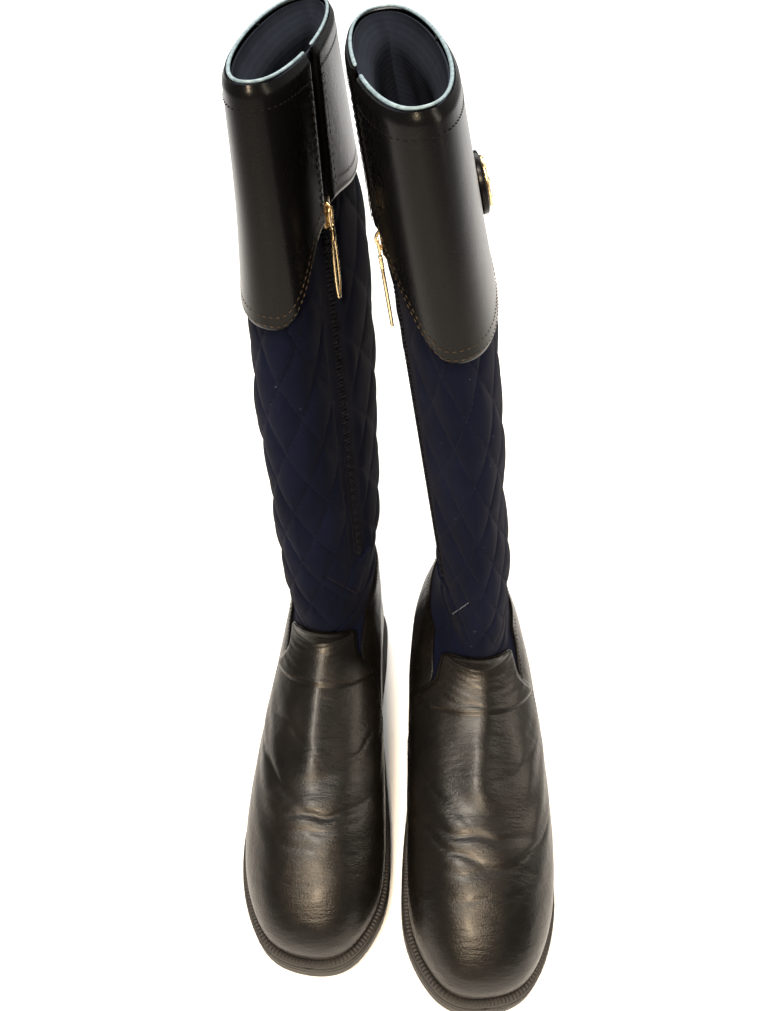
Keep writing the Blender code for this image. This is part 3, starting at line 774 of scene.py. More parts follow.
def sole(boot):
    """The outsole, the heel's two layers and the welt."""
    foot = f"{boot.name}_foot"
    side = [(2.2 * MM, 0.0), (0.6 * MM, 0.05), (0.0, 0.16), (0.2 * MM, 0.34), (0.0, 0.52), (0.1 * MM, 0.66),
            (0.9 * MM, 0.70), (0.9 * MM, 0.76), (0.1 * MM, 0.80), (0.0, 0.92), (0.9 * MM, 1.0)]
    welt_depth = 6.2 * MM
    piece = slab(boot, "tread_sole", 7 * MM, outsole_low,
                 lambda y: seat_z(y) - welt_depth, side, tread=cleats)
    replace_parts(dress(piece, RUBBER, foot), f"{boot.name}_outsole")

    cap_top, heel_front_u = 6 * MM, 0.355
    block = [(0.5 * MM, 0.0), (0.0, 0.1), (0.4 * MM, 0.5), (0.0, 0.9), (0.4 * MM, 1.0)]
    piece = slab(boot, "heel_lift", 6 * MM, lambda y: cap_top + 0.3 * MM + 0 * y,
                 lambda y: outsole_low(y) - 0.2 * MM, block, heel_front_u, 120)
    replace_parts(dress(piece, RUBBER, foot), f"{boot.name}_heel_block")
    cap = [(1.6 * MM, 0.0), (0.3 * MM, 0.2), (0.0, 0.5), (0.2 * MM, 1.0)]
    piece = slab(boot, "heel_cap", 6.2 * MM, lambda y: 0 * y,
                 lambda y: cap_top + 0 * y, cap, heel_front_u, 120)
    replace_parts(dress(piece, RUBBER, foot), f"{boot.name}_heel_top_piece")
    storm_welt(boot, foot)


def storm_welt(boot, foot):
    """The ribbed strip that the upper stands on, its section running once round from the inner lower edge."""
    section_points = np.array([
        (-1.2, -5.8), (2.5, -5.8), (5.6, -5.7), (6.3, -4.6), (6.4, -3.0), (5.9, -1.9), (4.9, -1.5),
        (3.6, -1.4), (2.6, -1.6), (2.0, -2.1), (1.3, -1.7), (0.4, -0.6), (-0.8, -0.4), (-1.3, -2.0),
    ]) * MM
    corners = len(section_points)
    rib_pitch = 2.1 * MM

    def place(s, t):
        corner = t * corners
        i = np.floor(corner).astype(int) % corners
        part = (corner % 1)[:, None]
        section = section_points[i] * (1 - part) + section_points[(i + 1) % corners] * part
        plan, outward = feather(s), feather_outward(s)
        on_top = hump(section[:, 0] - 4.3 * MM, 1.4 * MM) * (section[:, 1] > -2.5 * MM)
        rib = 0.28 * MM * np.sin(2 * math.pi * distance_round(s) / rib_pitch) * on_top
        flat = plan + outward * section[:, :1]
        return np.column_stack([flat, seat_z(plan[:, 1]) + section[:, 1] + rib])

    piece = panel(boot, "ribbed_welt", 1500, corners * 2, place, lambda s, t: (s, t), joined=True)
    edit(piece, face_outwards)
    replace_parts(dress(piece, RUBBER, foot), f"{boot.name}_welt")


# ---------------------------------------------------------------- foot


def seam_u(v):
    """How far round the vamp reaches on each side: wide at the sole, narrow at its tab."""
    return 0.305 - 0.115 * ease(v / 0.72) - 0.065 * ease((v - 0.68) / 0.20)


def quarter_top(u):
    """Top of the quarter: it rises steeply behind the tab, leaving a narrow gore, and on to the heel."""
    away = np.abs(np.asarray(u) - 0.5)
    return 0.74 + 0.27 * ease((0.315 - away) / 0.075) + 0.13 * ease((1 - away / 0.3) * 1.15)


def quilt_low(u):
    """Lower edge of the quilting: under the tab at the front, higher at the sides and back."""
    turn = np.cos(2 * math.pi * np.asarray(u))
    return v_of(ANKLE_Z + (30 - 22 * np.clip(turn, 0, 1) ** 1.2 + 8 * np.clip(-turn, 0, 1)) * MM)


def lining_low(u):
    """Lower edge of the shaft's lining, which is highest at the front."""
    turn = np.cos(2 * math.pi * np.asarray(u))
    return v_of(ANKLE_Z + (32 + 20 * np.clip(turn, 0, 1) + 8 * np.clip(-turn, 0, 1)) * MM)


# The tongue-like tab at the top of the vamp: its top at the front, and how much lower its corners are
TAB_TOP, TAB_DROP = 1.12, 0.15

# Folds across each vamp: v of the middle, how far it bows, depth, width in v, and where it runs in u
FOLDS = {
    "left": [
        (0.50, -0.030, 1.5, 0.016, -0.02, 0.12), (0.455, -0.02, 1.1, 0.012, -0.06, 0.10),
        (0.425, 0.02, 0.9, 0.011, 0.03, 0.13), (0.36, 0.03, 0.5, 0.010, 0.0, 0.05),
        (0.83, 0.02, 0.9, 0.012, -0.02, 0.09), (0.56, -0.05, 0.8, 0.014, -0.1, 0.07),
        (0.62, 0.06, 0.6, 0.014, 0.08, 0.08),
    ],
    "right": [
        (0.47, 0.02, 1.9, 0.015, -0.01, 0.09), (0.435, 0.01, 0.8, 0.010, -0.02, 0.07),
        (0.52, -0.05, 1.0, 0.018, 0.10, 0.09), (0.39, 0.01, 0.5, 0.010, 0.02, 0.05),
        (0.66, -0.12, 0.9, 0.016, 0.07, 0.06), (0.58, 0.05, 0.7, 0.014, -0.1, 0.07),
    ],
}


# How far every fold drops towards the sides of the foot, as v at u 0.1
FOLD_SAG = 0.07


def creasing(boot, u, v):
    """How far the leather stands out: folds at the ball, a soft ridge up the instep and small waves."""
    out = np.zeros_like(u)
    for middle, bow, depth, width, centre, reach in FOLDS[boot.name]:
        across = u - centre
        bowed = middle + (bow - FOLD_SAG) * (across / 0.1) ** 2 * 0.5
        line = bowed + 0.004 * np.sin(across * 90 + middle * 40)
        along = hump(across, 0.8 * reach)
        out -= 0.5 * depth * MM * hump(v - line, 0.6 * width) * along
        out += 0.22 * depth * MM * hump(v - line - 1.8 * width, 1.3 * width) * along
        out += 0.16 * depth * MM * hump(v - line + 1.9 * width, 1.4 * width) * along
    wander = 0.012 * np.sin(v * 9 + (0 if boot.side > 0 else 2))
    ridge = hump(u - wander, 0.030) * ease((v - 0.5) / 0.15) * ease((0.99 - v) / 0.12)
    out += 1.7 * MM * ridge
    out += 0.35 * MM * np.sin(v * 55 + np.sin(u * 25) * 2) * hump(v - 0.5, 0.16) * hump(u, 0.2)
    out += 0.25 * MM * np.sin(u * 70 + v * 13) * hump(v - 0.6, 0.2)
    return out


def foot_upper(boot):
    """The vamp, the band at the top of the instep, the quarter and the stitches that hold them."""
    foot = f"{boot.name}_foot"
    low = 0.015

    def vamp_place(s, t):
        v = low + (TAB_TOP - TAB_DROP * (s * 2 - 1) ** 2 - low) * t
        u = (s * 2 - 1) * (seam_u(v) + 0.004)
        edge = ease((1 - np.abs(s * 2 - 1)) / 0.02) * 0.5 + ease((1 - t) / 0.012) * 0.5
        return boot.skin(u, v, (1.7 + 0.7 * edge) * MM + creasing(boot, u, v))

    piece = panel(boot, "creased_vamp", 190, 220, vamp_place,
                  lambda s, t: (s * 0.25, t * 0.2), thickness=LEATHER_WALL)
    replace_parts(dress(piece, LEATHER, foot), f"{boot.name}_vamp")

    def band_place(s, t):
        low = 0.80 - 0.07 * (s * 2 - 1) ** 2
        v = low + (TAB_TOP + 0.005 - TAB_DROP * (s * 2 - 1) ** 2 - low) * t
        u = (s * 2 - 1) * (seam_u(v) - 0.006)
        peak = 0.014 * np.abs(s * 2 - 1) ** 10 * t
        edge = ease((1 - np.abs(s * 2 - 1)) / 0.04) * ease(t / 0.06) * ease((1 - t) / 0.05)
        ripple = 0.10 * MM * np.sin(v * 150 + 3 * np.sin(u * 17)) * np.sin(u * 31 + v * 40) * ease(t / 0.3)
        return boot.skin(u, v + peak, (3.3 + 0.9 * edge) * MM + creasing(boot, u, v) * 0.6 + ripple)

    piece = panel(boot, "instep_band", 90, 60, band_place,
                  lambda s, t: (s * 0.08, t * 0.03), thickness=1.1 * MM)
    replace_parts(dress(piece, LEATHER, foot), f"{boot.name}_vamp_collar")

    def quarter_place(s, t):
        v = low + t * (quarter_top(0.2 + s * 0.6) - low)
        start = seam_u(v) - 0.010
        u = start + s * (1 - 2 * start)
        edge = ease(np.minimum(s, 1 - s) / 0.012) * 0.5 + ease((1 - t) / 0.02) * 0.5
        tuck = ease(np.minimum(s, 1 - s) / 0.05)
        wave = 0.3 * MM * np.sin(u * 60) * np.sin(v * 20) * tuck
        return boot.skin(u, v, (0.4 + 1.2 * tuck + 0.7 * edge) * MM + wave)

    piece = panel(boot, "heel_quarter", 220, 110, quarter_place,
                  lambda s, t: (s * 0.3, t * 0.1), thickness=LEATHER_WALL)
    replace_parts(dress(piece, LEATHER, foot), f"{boot.name}_quarter")

    v = np.linspace(0.04, 0.78, 160)
    for sign, side in ((1, "outer"), (-1, "inner")):
        for k, inset in enumerate((0.006, 0.014)):
            stitches(boot, f"vamp_{side}_seam_{k}", sign * (seam_u(v) - inset), v, 2.45 * MM,
                     FOOT_STITCH, foot, BLACK_THREAD)
    s = np.linspace(0.03, 0.97, 160)
    v = quarter_top(0.2 + s * 0.6)
    start = seam_u(v) - 0.010
    stitches(boot, "quarter_top_seam", start + s * (1 - 2 * start), v - 0.035, 2.4 * MM,
             FOOT_STITCH, foot, BLACK_THREAD)
    share = np.linspace(-1, 1, 60)
    stitches(boot, "band_seam", share * (seam_u(0.82) - 0.014), 0.825 - 0.07 * share**2, 4.3 * MM,
             BAND_STITCH, foot, BROWN_THREAD)


# v of the ankle cloth's lower edge, inside the foot
ANKLE_CLOTH_LOW = 0.62


def ankle(boot):
    """Plain navy cloth that joins the foot to the shaft, with a few soft bulges."""

    def place(s, t):
        v = ANKLE_CLOTH_LOW + t * (quilt_low(s) + 0.06 - ANKLE_CLOTH_LOW)
        rise = ease((v - 1.0) / 0.25)
        above = ease((v - quilt_low(s) + 0.05) / 0.06)
        bulge = 0.8 * MM * np.sin(s * 44) * np.sin(v * 9 + s * 12) * (1 - above) * ease((v - 0.9) / 0.1)
        return boot.skin(s, v, (-0.4 + 1.2 * rise - 1.4 * above) * MM + bulge)

    piece = panel(boot, "ankle_cloth", 200, 100, place,
                  lambda s, t: (s * 0.2, t * 0.1), joined=True, thickness=CLOTH_WALL)
    dress(piece, NAVY, None)
    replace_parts(bend_at_ankle(boot, piece), f"{boot.name}_ankle_gusset")


# ---------------------------------------------------------------- shaft


def puff(u, z):
    """Height of the quilting, 0 on its stitch lines and 1 in the middle of each diamond."""
    across, up = u * AROUND / QUILT_ACROSS, z / QUILT_UP
    first = np.abs(np.sin(math.pi * (across + up)))
    second = np.abs(np.sin(math.pi * (across - up)))
    return np.minimum(first, second) ** 0.45 * 0.5 + (first * second) ** 0.4 * 0.5


def side_seam_z(u):
    """Height of the curved seam that sweeps down and back, passing in front of the foot of the zip."""
    share = np.clip((SEAM_FRONT_U - np.asarray(u)) / (SEAM_FRONT_U - SEAM_BACK_U), 0, 1)
    return (197 - 46 * share**1.15) * MM


def quilt_out(u, v):
    """How far the outside of the quilting stands from the shaft's surface."""
    z, low = z_of(v), quilt_low(u)
    from_zip = np.abs((u - ZIP_U + 0.5) % 1 - 0.5)
    beside_zip = 1 - ease((from_zip - 0.026) / 0.02)
    calm = np.where(z < ZIP_LOW_Z - 4 * MM, 1.0, 1 - beside_zip)
    hem = np.where((u < CUFF_SEAM_U) | (u > ZIP_U), CUFF_FRONT_Z, CUFF_BACK_Z)
    under_cuff = ease((z - hem + 4 * MM) / 0.012)
    from_hem = ease((v - low) / 0.30)
    soft = puff(u, z) * from_hem * calm * (1 - 0.85 * under_cuff)
    sag = 0.8 * MM * np.sin(u * 19 + z * 31) * np.sin(z * 52 + u * 6) * from_hem * (1 - under_cuff) * calm
    on_seam = (u > SEAM_BACK_U) & (u < SEAM_FRONT_U)
    groove = 0.8 * MM * hump(z - side_seam_z(u), 1.8 * MM) * on_seam
    lowest = np.where(from_zip < 0.03, 0.1 * MM, -0.4 * MM)
    return np.maximum((0.24 + 0.96 * from_hem + 2.3 * soft) * MM + sag - groove, lowest)


def quilted_shaft(boot):
    """The quilted tube, its outside in fine rows and its inside in a few."""
    outer_rows, inner_rows = 250, 8
    rows = outer_rows + inner_rows
    top = v_of(RIM_Z - 3 * MM)

    def height(s, t):
        climb = np.minimum(t * rows / outer_rows, 1) - np.clip(t * rows - outer_rows, 0, None) / inner_rows
        return quilt_low(s) + (top - quilt_low(s)) * climb

    def place(s, t):
        v = height(s, t)
        return boot.skin(s, v, np.where(t * rows <= outer_rows, quilt_out(s, v), -1.2 * MM))

    piece = panel(boot, "quilted_cloth", 300, rows, place,
                  lambda s, t: (s * AROUND, z_of(height(s, t))), joined=True)
    dress(piece, QUILT, None)
    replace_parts(bend_at_ankle(boot, piece), f"{boot.name}_quilted_shaft")

    u = np.linspace(SEAM_BACK_U + 0.005, SEAM_FRONT_U - 0.005, 120)
    v = v_of(side_seam_z(u))
    # The left boot's seam is sewn in pale thread, its own colour; the right boot's copy of the same seam
    # takes the darker brown thread as painted shade
    thread = PALE_THREAD if boot.side > 0 else BROWN_THREAD
    seam = stitches(boot, "shaft_side_seam", u, v, quilt_out(u, v) + 0.1 * MM, SHAFT_STITCH, None, thread)
    bend_at_ankle(boot, seam)


def shaft_lining(boot):
    """The lining, which folds softly inside the shaft and flares out to meet the rim."""

    def place(s, t):
        low = lining_low(s)
        v = low + t * (v_of(RIM_Z - 0.6 * MM) - low)
        fold = 1.1 * MM * np.sin(s * 50 + np.sin(v * 2.2) * 1.5) * ease((v_of(RIM_Z - 8 * MM) - v) / 0.3)
        flare = ease((v - v_of(RIM_Z - 14 * MM)) / 0.13) * 6.2 * MM
        return boot.skin(s, v, -4.0 * MM + fold * 0.8 + flare)

    piece = panel(boot, "shaft_lining_cloth", 220, 120, place,
                  lambda s, t: (s * 0.3, t * 0.31), joined=True, thickness=CLOTH_WALL)
    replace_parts(dress(piece, LINING, f"{boot.name}_shaft"), f"{boot.name}_shaft_lining")


def front_cuff_low(share):
    """Height of the front panel's lower edge, share 0 at the zip and 1 at the outer seam."""
    return CUFF_FRONT_Z + (30 * ease((0.34 - share) / 0.30) + 24 * ease((share - 0.80) / 0.20)) * MM


def rear_cuff_low(share):
    """Height of the rear panel's lower edge, share 0 at the outer seam and 1 at the zip."""
    return CUFF_BACK_Z + 6 * MM * ease((share - 0.8) / 0.2)


def cuff_panel(boot, name, low_of, start_of, end_of, sink):
    """One leather panel between two lines up the shaft, double stitched along its lower edge."""
    shaft = f"{boot.name}_shaft"
    top_z = RIM_Z + 0.7 * MM
    heights = np.linspace(CUFF_FRONT_Z - 2 * MM, top_z, 40)
    starts = np.array([start_of(z) for z in heights])
    ends = np.array([end_of(z) for z in heights])

    def spread(s, z):
        start, end = np.interp(z, heights, starts), np.interp(z, heights, ends)
        return start + (end - start) * s

    def place(s, t):
        low = low_of(s)
        z = low + (top_z - low) * t
        u = spread(s, z)
        edge = ease(np.minimum(s, 1 - s) / 0.01) * ease(t / 0.012)
        tuck = sink * ease((0.05 - s) / 0.04)
        roll = -1.3 * MM * ease((z - RIM_Z + 2.4 * MM) / (3.4 * MM))
        dent = 0.5 * MM * np.sin(u * 21 + 1) * np.sin(z * 33) * (1 - t) ** 0.5
        return boot.skin(u, v_of(z), (4.9 + 0.7 * edge) * MM + tuck + roll + dent)

    piece = panel(boot, f"{name}_leather", 150, 70, place,
                  lambda s, t: (s * 0.16, t * 0.09), thickness=LEATHER_WALL)
    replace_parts(dress(piece, CUFF, shaft), f"{boot.name}_{name}")
    s = np.linspace(0.02, 0.98, 200)
    for row, inset in enumerate((2.2 * MM, 6.5 * MM)):
        z = low_of(s) + inset
        stitches(boot, f"{name}_low_seam_{row}", spread(s, z), v_of(z), CUFF_OUT,
                 HEM_STITCH, shaft, BROWN_THREAD)


def cuffs(boot):
    """The leather panels, their topstitching and the pale rolled edge."""
    shaft = f"{boot.name}_shaft"

    def beside_zip(side):
        return lambda z: boot.slot_edges(z, OPENING)[side]

    cuff_panel(boot, "front_cuff", front_cuff_low, beside_zip(1), lambda z: 1 + CUFF_SEAM_U, 0.0)
    cuff_panel(boot, "rear_cuff", rear_cuff_low, lambda z: CUFF_SEAM_U - 0.012, beside_zip(0), -1.0 * MM)
    z = np.linspace(CUFF_BACK_Z + 10 * MM, RIM_Z - 9 * MM, 50)
    for name, side in (("rear", 0), ("front", 1)):
        for row, beside in enumerate((OPENING + 5 * MM, OPENING + 13 * MM)):
            u = np.array([boot.slot_edges(height, beside)[side] for height in z])
            stitches(boot, f"zip_edge_seam_{name}_{row}", u, v_of(z), CUFF_OUT,
                     EDGE_STITCH, shaft, BLACK_THREAD)
    z = np.linspace(front_cuff_low(1.0) + 3 * MM, RIM_Z - 4 * MM, 60)
    for k, inset in enumerate((0.010, 0.018)):
        stitches(boot, f"cuff_side_seam_{k}", CUFF_SEAM_U - inset, v_of(z), CUFF_OUT,
                 HEM_STITCH, shaft, BLACK_THREAD)
    start, end = (boot.slot_edges(RIM_Z, OPENING + 4 * MM)[k] for k in (1, 0))
    u = np.linspace(start, 1 + end, 260)
    stitches(boot, "rim_seam", u, v_of(RIM_Z - 7 * MM), 5.7 * MM, EDGE_STITCH, shaft, BLACK_THREAD)
    rim(boot, shaft)


def rim(boot, shaft):
    """A thin pale edge that closes the rim between the cuff and the lining."""
    start, end = boot.slot_edges(RIM_Z, OPENING)[1], 1 + boot.slot_edges(RIM_Z, OPENING)[0]

    def place(s, t):
        u = start + (end - start) * s
        angle = 2 * math.pi * t
        close = np.minimum(1, np.minimum(s, 1 - s) / 0.004) ** 0.5
        out = 2.8 * MM + 0.75 * MM * np.cos(angle) * close
        lift = 0.55 * MM * np.sin(angle) * close + 1.4 * MM
        points = boot.skin(u, np.full_like(u, v_of(RIM_Z)), out)
        points[:, 2] += lift
        return points

    piece = panel(boot, "rolled_edge", 320, 14, place, lambda s, t: (s * 0.3, t * 0.006), joined=True)
    edit(piece, face_outwards)
    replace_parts(dress(piece, EDGE, shaft), f"{boot.name}_top_binding")


# ---------------------------------------------------------------- zip


class ZipTrack:
    """The straight line that the zip runs on: X across it, Y up it and Z out from the boot."""

    def __init__(self, boot):
        low, high = boot.world(boot.zip_line(np.array([ZIP_LOW_Z, RIM_Z])))
        middle = np.full(2, (ZIP_LOW_Z + RIM_Z) / 2)
        beside = boot.world(boot.shaft(np.array([ZIP_U - 0.01, ZIP_U + 0.01]), middle))
        self.length = np.linalg.norm(high - low)
        along = (high - low) / self.length
        across = (beside[1] - beside[0]) * boot.side
        across -= along * (across @ along)
        across /= np.linalg.norm(across)
        self.origin = low
        self.basis = np.stack([across, along, np.cross(across, along)])
        self.slider = self.length * (SLIDER_Z - ZIP_LOW_Z) / (RIM_Z - ZIP_LOW_Z)

    def world(self, points):
        return np.asarray(points) @ self.basis + self.origin

    def lay(self, piece):
        """Puts a piece modelled at the world's origin on the track."""
        turn = Matrix([[*self.basis[:, k], self.origin[k]] for k in range(3)] + [[0, 0, 0, 1]])
        return settle(piece, turn)


def mm(*values):
    """Millimetres as a point in metres."""
    return tuple(value * MM for value in values)


def cube(name, low, high, bevel=0.0, segments=2):
    """A box from one corner to the other with rounded edges."""
    deselect()
    bpy.ops.mesh.primitive_cube_add(size=1, location=[(a + b) / 2 for a, b in zip(low, high)])
    piece = bpy.context.object
    piece.name = name
    piece.scale = [b - a for a, b in zip(low, high)]
    bpy.ops.object.transform_apply(location=True, rotation=True, scale=True)
    if bevel:
        round_edges(piece, bevel, segments)
    return piece


def wire(name, points, radius, closed=False):
    """A round wire through points, as a mesh: a loop, or an open wire with closed ends."""
    curve = bpy.data.curves.new(name, "CURVE")
    curve.dimensions = "3D"
    curve.bevel_depth = radius
    curve.bevel_resolution = 3
    curve.use_fill_caps = not closed
    spline = curve.splines.new("NURBS")
    spline.points.add(len(points) - 1)
    for knot, point in zip(spline.points, points):
        knot.co = (*point, 1)
    spline.use_cyclic_u = closed
    spline.use_endpoint_u = not closed
    spline.order_u = 4 if closed else 3
    spline.resolution_u = 6 if closed else 8
    piece = bpy.data.objects.new(name, curve)
    bpy.context.scene.collection.objects.link(piece)
    make_active(piece)
    bpy.ops.object.convert(target="MESH")
    piece = bpy.context.object
    if not closed:
        edit(piece, merge_close)
    return piece


def join(pieces, name):
    """Makes pieces one object, which takes the place and scale of the first."""
    deselect()
    for piece in pieces:
        piece.select_set(True)
    bpy.context.view_layer.objects.active = pieces[0]
    bpy.ops.object.join()
    piece = bpy.context.object
    piece.name = name
    piece.data.name = name
    return piece


def tooth():
    """One zip tooth, sized in millimetres: a peg with a wider head towards +X."""
    root = cube("tooth", (-1.1, -0.42, -0.7), (0.35, 0.42, 0.7), 0.12, 1)
    head = cube("head", (0.2, -0.62, -0.7), (1.1, 0.62, 0.7), 0.2, 1)
    join([root, head], "tooth")


def zip_fastener(boot):
    """The tapes, a row of teeth on each, the clip at the foot, the slider and the pull."""
    shaft = f"{boot.name}_shaft"
    track = ZipTrack(boot)
    end = track.length / MM
    pitch = 2.3
    points, faces = template(tooth)
    for name, front in (("front", boot.side), ("rear", -boot.side)):
        low_x, high_x = sorted((front * 0.5, front * 5.2))
        tape = cube(f"{boot.name}_tape_{name}", mm(low_x, 3, 0.25), mm(high_x, end - 2, 0.95), 0.15 * MM)
        dress(track.lay(tape), TAPE, shaft)
        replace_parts(tape, f"{boot.name}_zip_tape_{name}")
        turned = [face[::-1] for face in faces] if front > 0 else faces
        first = 5 + (pitch / 2 if name == "rear" else 0)
        parts = []
        for y in np.arange(first, end - 4, pitch):
            tooth_points = points * (-front * 1.25, 1, 1) + (front * 1.55, y, 1.75)
            parts.append((track.world(tooth_points * MM), turned))
        teeth = from_parts(f"{boot.name}_teeth_{name}", parts)
        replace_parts(dress(teeth, TAPE, shaft), f"{boot.name}_zip_teeth_{name}")
    # The clip at the foot of the zip takes the dark tape's finish instead of gold: painted shade, where it
    # lies in shadow
    stop = cube(f"{boot.name}_end_clip", mm(-3, 0.8, 0.3), mm(3, 3.6, 2.9), 0.5 * MM, 3)
    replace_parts(dress(track.lay(stop), TAPE, shaft), f"{boot.name}_zip_bottom_stop")
    slider_and_pull(boot, track)


def slider_and_pull(boot, track):
    """The slider's plate, cheeks and eye, and the long slotted pull that hangs on the eye."""
    at = track.slider / MM
    half_long, half_wide, face = 6, 4.2, 4.2
    plate = cube("plate", mm(-half_wide, at - half_long, 2.9), mm(half_wide, at + half_long, 4.3))
    edit(plate, lambda: bpy.ops.mesh.subdivide(number_cuts=6))
    for vertex in plate.data.vertices:
        share = (vertex.co.y / MM - at) / half_long
        vertex.co.x *= 0.62 + 0.38 * math.cos(share * 1.2) ** 0.6
        crown = 1 - abs(vertex.co.x) / (half_wide * MM)
        vertex.co.z += 0.5 * MM * crown * (vertex.co.z > face * MM)
    round_edges(plate, 0.35 * MM, 2)
    cheeks = [cube("cheek", mm(x - 0.7, at - 4.5, 1.2), mm(x + 0.7, at + 4.5, 3.1), 0.25 * MM)
              for x in (-4.3, 4.3)]
    arch = [(-3.5, 4.4), (-2, 5.9), (1, 6.6), (3.2, 5.9), (4.2, 4.4)]
    wire_radius = 0.75 * MM
    eye = wire("eye", [mm(0, at + y, z) for y, z in arch], wire_radius)
    slider = join([plate, *cheeks, eye], f"{boot.name}_slider_body")
    smooth(slider)
    dress(track.lay(slider), GOLD, f"{boot.name}_slider")
    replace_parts(slider, f"{boot.name}_zip_slider")

    hinge, height = at + 1, 5.9
    link = [(1.9, 1.6), (2.2, -1.5), (1.6, -5.0), (0.9, -7.5), (-0.9, -7.5), (-1.6, -5.0), (-2.2, -1.5),
            (-1.9, 1.6)]
    loop = wire("loop", [mm(x, hinge + y, height) for x, y in link], 0.55 * MM, closed=True)
    knuckle = cube("knuckle", mm(-1.3, hinge - 13.5, height - 0.9),
                   mm(1.3, hinge - 7.2, height + 0.9), 0.5 * MM, 3)
    prong = [(0.95, -12.5), (1.9, -17), (2.185, -28), (1.9, -36), (0.665, -40)]
    prongs = [wire("prong", [mm(side * x, hinge + y, height) for x, y in prong], wire_radius)
              for side in (-1, 1)]
    tip = cube("tip", mm(-1.1, hinge - 40.5, height - 0.75),
               mm(1.1, hinge - 38.6, height + 0.75), 0.4 * MM, 3)
    pull = join([loop, knuckle, *prongs, tip], f"{boot.name}_pull_bar")
    smooth(pull)
    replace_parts(dress(track.lay(pull), GOLD, f"{boot.name}_pull"), f"{boot.name}_zip_pull")


# ---------------------------------------------------------------- ornament


def bead(radius, place, segments, rings):
    deselect()
    bpy.ops.mesh.primitive_uv_sphere_add(
        segments=segments, ring_count=rings, radius=radius * MM, location=mm(*place))
    return bpy.context.object


def gold_ring(radius, thickness, place, segments, minor_segments):
    deselect()
    bpy.ops.mesh.primitive_torus_add(
        major_radius=radius * MM, minor_radius=thickness * MM, major_segments=segments,
        minor_segments=minor_segments, location=mm(*place))
    return bpy.context.object


def disc(radius, depth, height, vertices):
    deselect()
    bpy.ops.mesh.primitive_cylinder_add(
        vertices=vertices, radius=radius * MM, depth=depth * MM, location=mm(0, 0, height))
    return bpy.context.object


def hollow_faces():
    for thickness, depth in ((1.2, 0.5), (1.6, 0.25), (3, -0.35)):
        bpy.ops.mesh.inset(thickness=thickness * MM, depth=depth * MM)


def medallion(boot):
    """A pierced gold rosette on a round leather pad."""
    shaft = f"{boot.name}_shaft"
    where = np.array([MEDALLION_U]), np.array([v_of(MEDALLION_Z)])
    on, off = (boot.world(boot.skin(*where, out))[0] for out in (5.6 * MM, 15.6 * MM))
    axis = Vector(off - on).normalized()
    turn = Matrix.Translation(on) @ axis.to_track_quat("Z", "Y").to_matrix().to_4x4()

    pad = disc(13.4, 2.6, 2.2, 72)
    bpy.ops.object.transform_apply(location=True, rotation=False, scale=False)
    edit(pad, hollow_faces, faces=lambda face: abs(face.normal.z) > 0.9)
    round_edges(pad, 0.5 * MM, 3)
    pad.name = f"{boot.name}_round_pad"
    smooth(pad, 50)
    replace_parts(dress(settle(pad, turn), CUFF, shaft), f"{boot.name}_medallion_pad")

    base, petals, outer = 4.6, 10, 10.2
    parts = [gold_ring(radius, thickness, (0, 0, base + (11 - radius) * 0.12), 72, 12)
             for radius, thickness in ((outer, 0.8), (6.4, 0.55), (2.4, 0.7))]
    for k in range(petals):
        angle = 2 * math.pi * k / petals
        half_step = math.pi / petals
        for reach, size, lift, turned in ((8.3, 1.25, 0.5, angle), (4.3, 0.95, 0.9, angle + half_step)):
            place = (reach * math.cos(turned), reach * math.sin(turned), base + lift)
            parts.append(gold_ring(size, 0.42, place, 20, 8))
        between = angle + 0.31
        parts.append(bead(0.75, (outer * math.cos(between), outer * math.sin(between), base + 0.7), 12, 8))
    boss = bead(1.9, (0, 0, base + 1.0), 24, 12)
    boss.scale.z = 0.7
    parts += [boss, disc(9.8, 0.7, base - 0.35, 48)]
    rosette = join(parts, f"{boot.name}_rosette")
    bpy.ops.object.transform_apply(location=True, rotation=True, scale=True)
    smooth(rosette)
    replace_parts(dress(settle(rosette, turn), GOLD, shaft), f"{boot.name}_medallion")


# ---------------------------------------------------------------- whole pair


def boot_pieces(name):
    """All the pieces of one boot, and the finishes of what lies inside it."""
    boot = Boot(name)
    sole(boot)
    foot_upper(boot)
    ankle(boot)
    quilted_shaft(boot)
    shaft_lining(boot)
    cuffs(boot)
    zip_fastener(boot)
    medallion(boot)
    for node, finish in INSIDE.items():
        inner = frame["nodes"][f"{name}_{node}"]
        inner.data.materials.clear()
        inner.data.materials.append(finish)


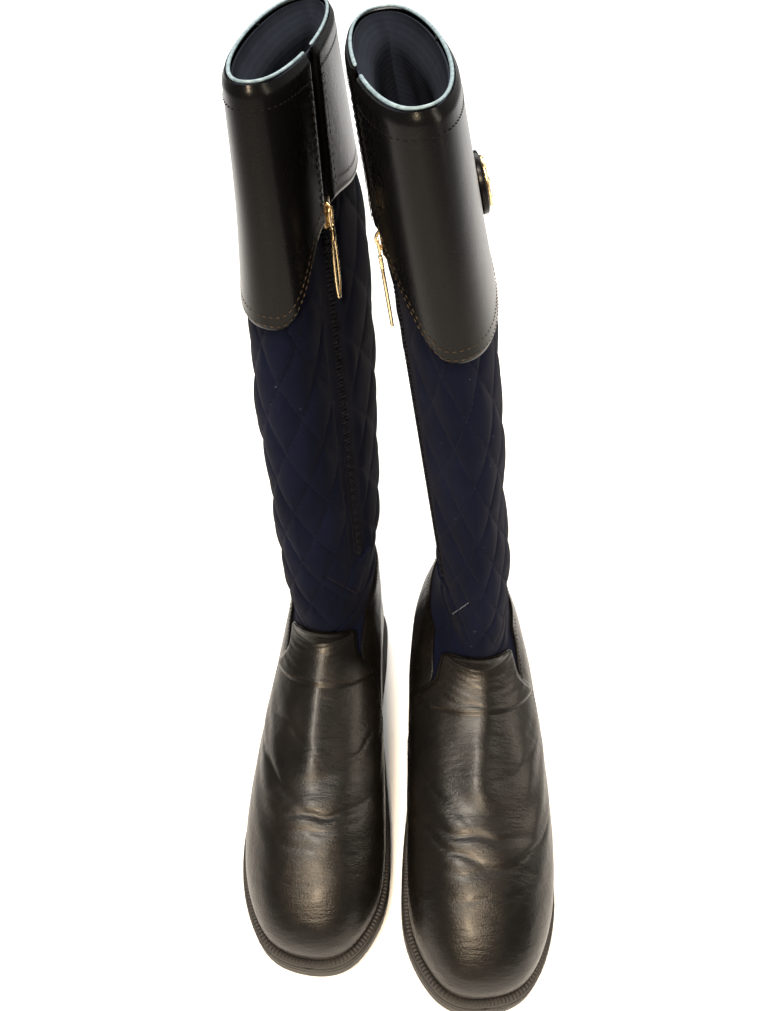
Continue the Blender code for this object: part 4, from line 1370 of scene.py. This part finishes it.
def area_light(name, place, aim, size, power, colour):
    """A soft rectangular light that faces a point."""
    lamp = bpy.data.lights.new(name, "AREA")
    lamp.shape = "RECTANGLE"
    lamp.size, lamp.size_y = size
    lamp.energy = power
    lamp.color = colour
    holder = bpy.data.objects.new(name, lamp)
    holder.location = place
    holder.rotation_euler = (Vector(aim) - Vector(place)).to_track_quat("-Z", "Y").to_euler()
    bpy.context.scene.collection.objects.link(holder)


def studio():
    """A pale floor, soft lights and the camera."""
    deselect()
    bpy.ops.mesh.primitive_plane_add(size=12, location=(0, 0, 0))
    floor = bpy.context.object
    floor.name = "floor"
    floor.data.materials.append(mottled("pale_floor", (0.93, 0.93, 0.93), (0.94, 0.94, 0.94), 2, 0.95, 0.0))
    world = bpy.data.worlds.new("soft_room")
    world.use_nodes = True
    background = world.node_tree.nodes["Background"]
    background.inputs["Color"].default_value = (1.0, 0.99, 0.975, 1)
    background.inputs["Strength"].default_value = 0.2
    bpy.context.scene.world = world
    area_light("window", (-0.3, -0.55, 1.7), (0, -0.1, 0.05), (0.26, 0.26), 26, (1.0, 0.92, 0.8))
    area_light("toe_lamp", (-0.15, -1.25, 1.3), (0, -0.15, 0.05), (0.22, 0.22), 34, (1.0, 0.78, 0.54))
    area_light("back_fill", (0, 2.0, 2.6), (0, 1.7, 0), (3.2, 2.0), 150, (1.0, 0.99, 0.97))
    area_light("side_strip", (1.0, -0.1, 0.8), (0, 0, 0.35), (0.2, 0.8), 6, (1.0, 0.88, 0.72))
    lens = bpy.data.cameras.new("camera")
    lens.sensor_fit = "VERTICAL"
    lens.sensor_height = 36
    lens.lens = 25.35
    lens.clip_start = 0.01
    camera = bpy.data.objects.new("camera", lens)
    camera.location = (-0.0116, -0.2657, 0.526)
    looking_down = 0.77
    camera.rotation_euler = (math.pi / 2 - looking_down, 0, 0)
    bpy.context.scene.collection.objects.link(camera)
    bpy.context.scene.camera = camera
    bpy.context.scene.view_settings.view_transform = "Standard"


for side_name in STAND:
    boot_pieces(side_name)
studio()
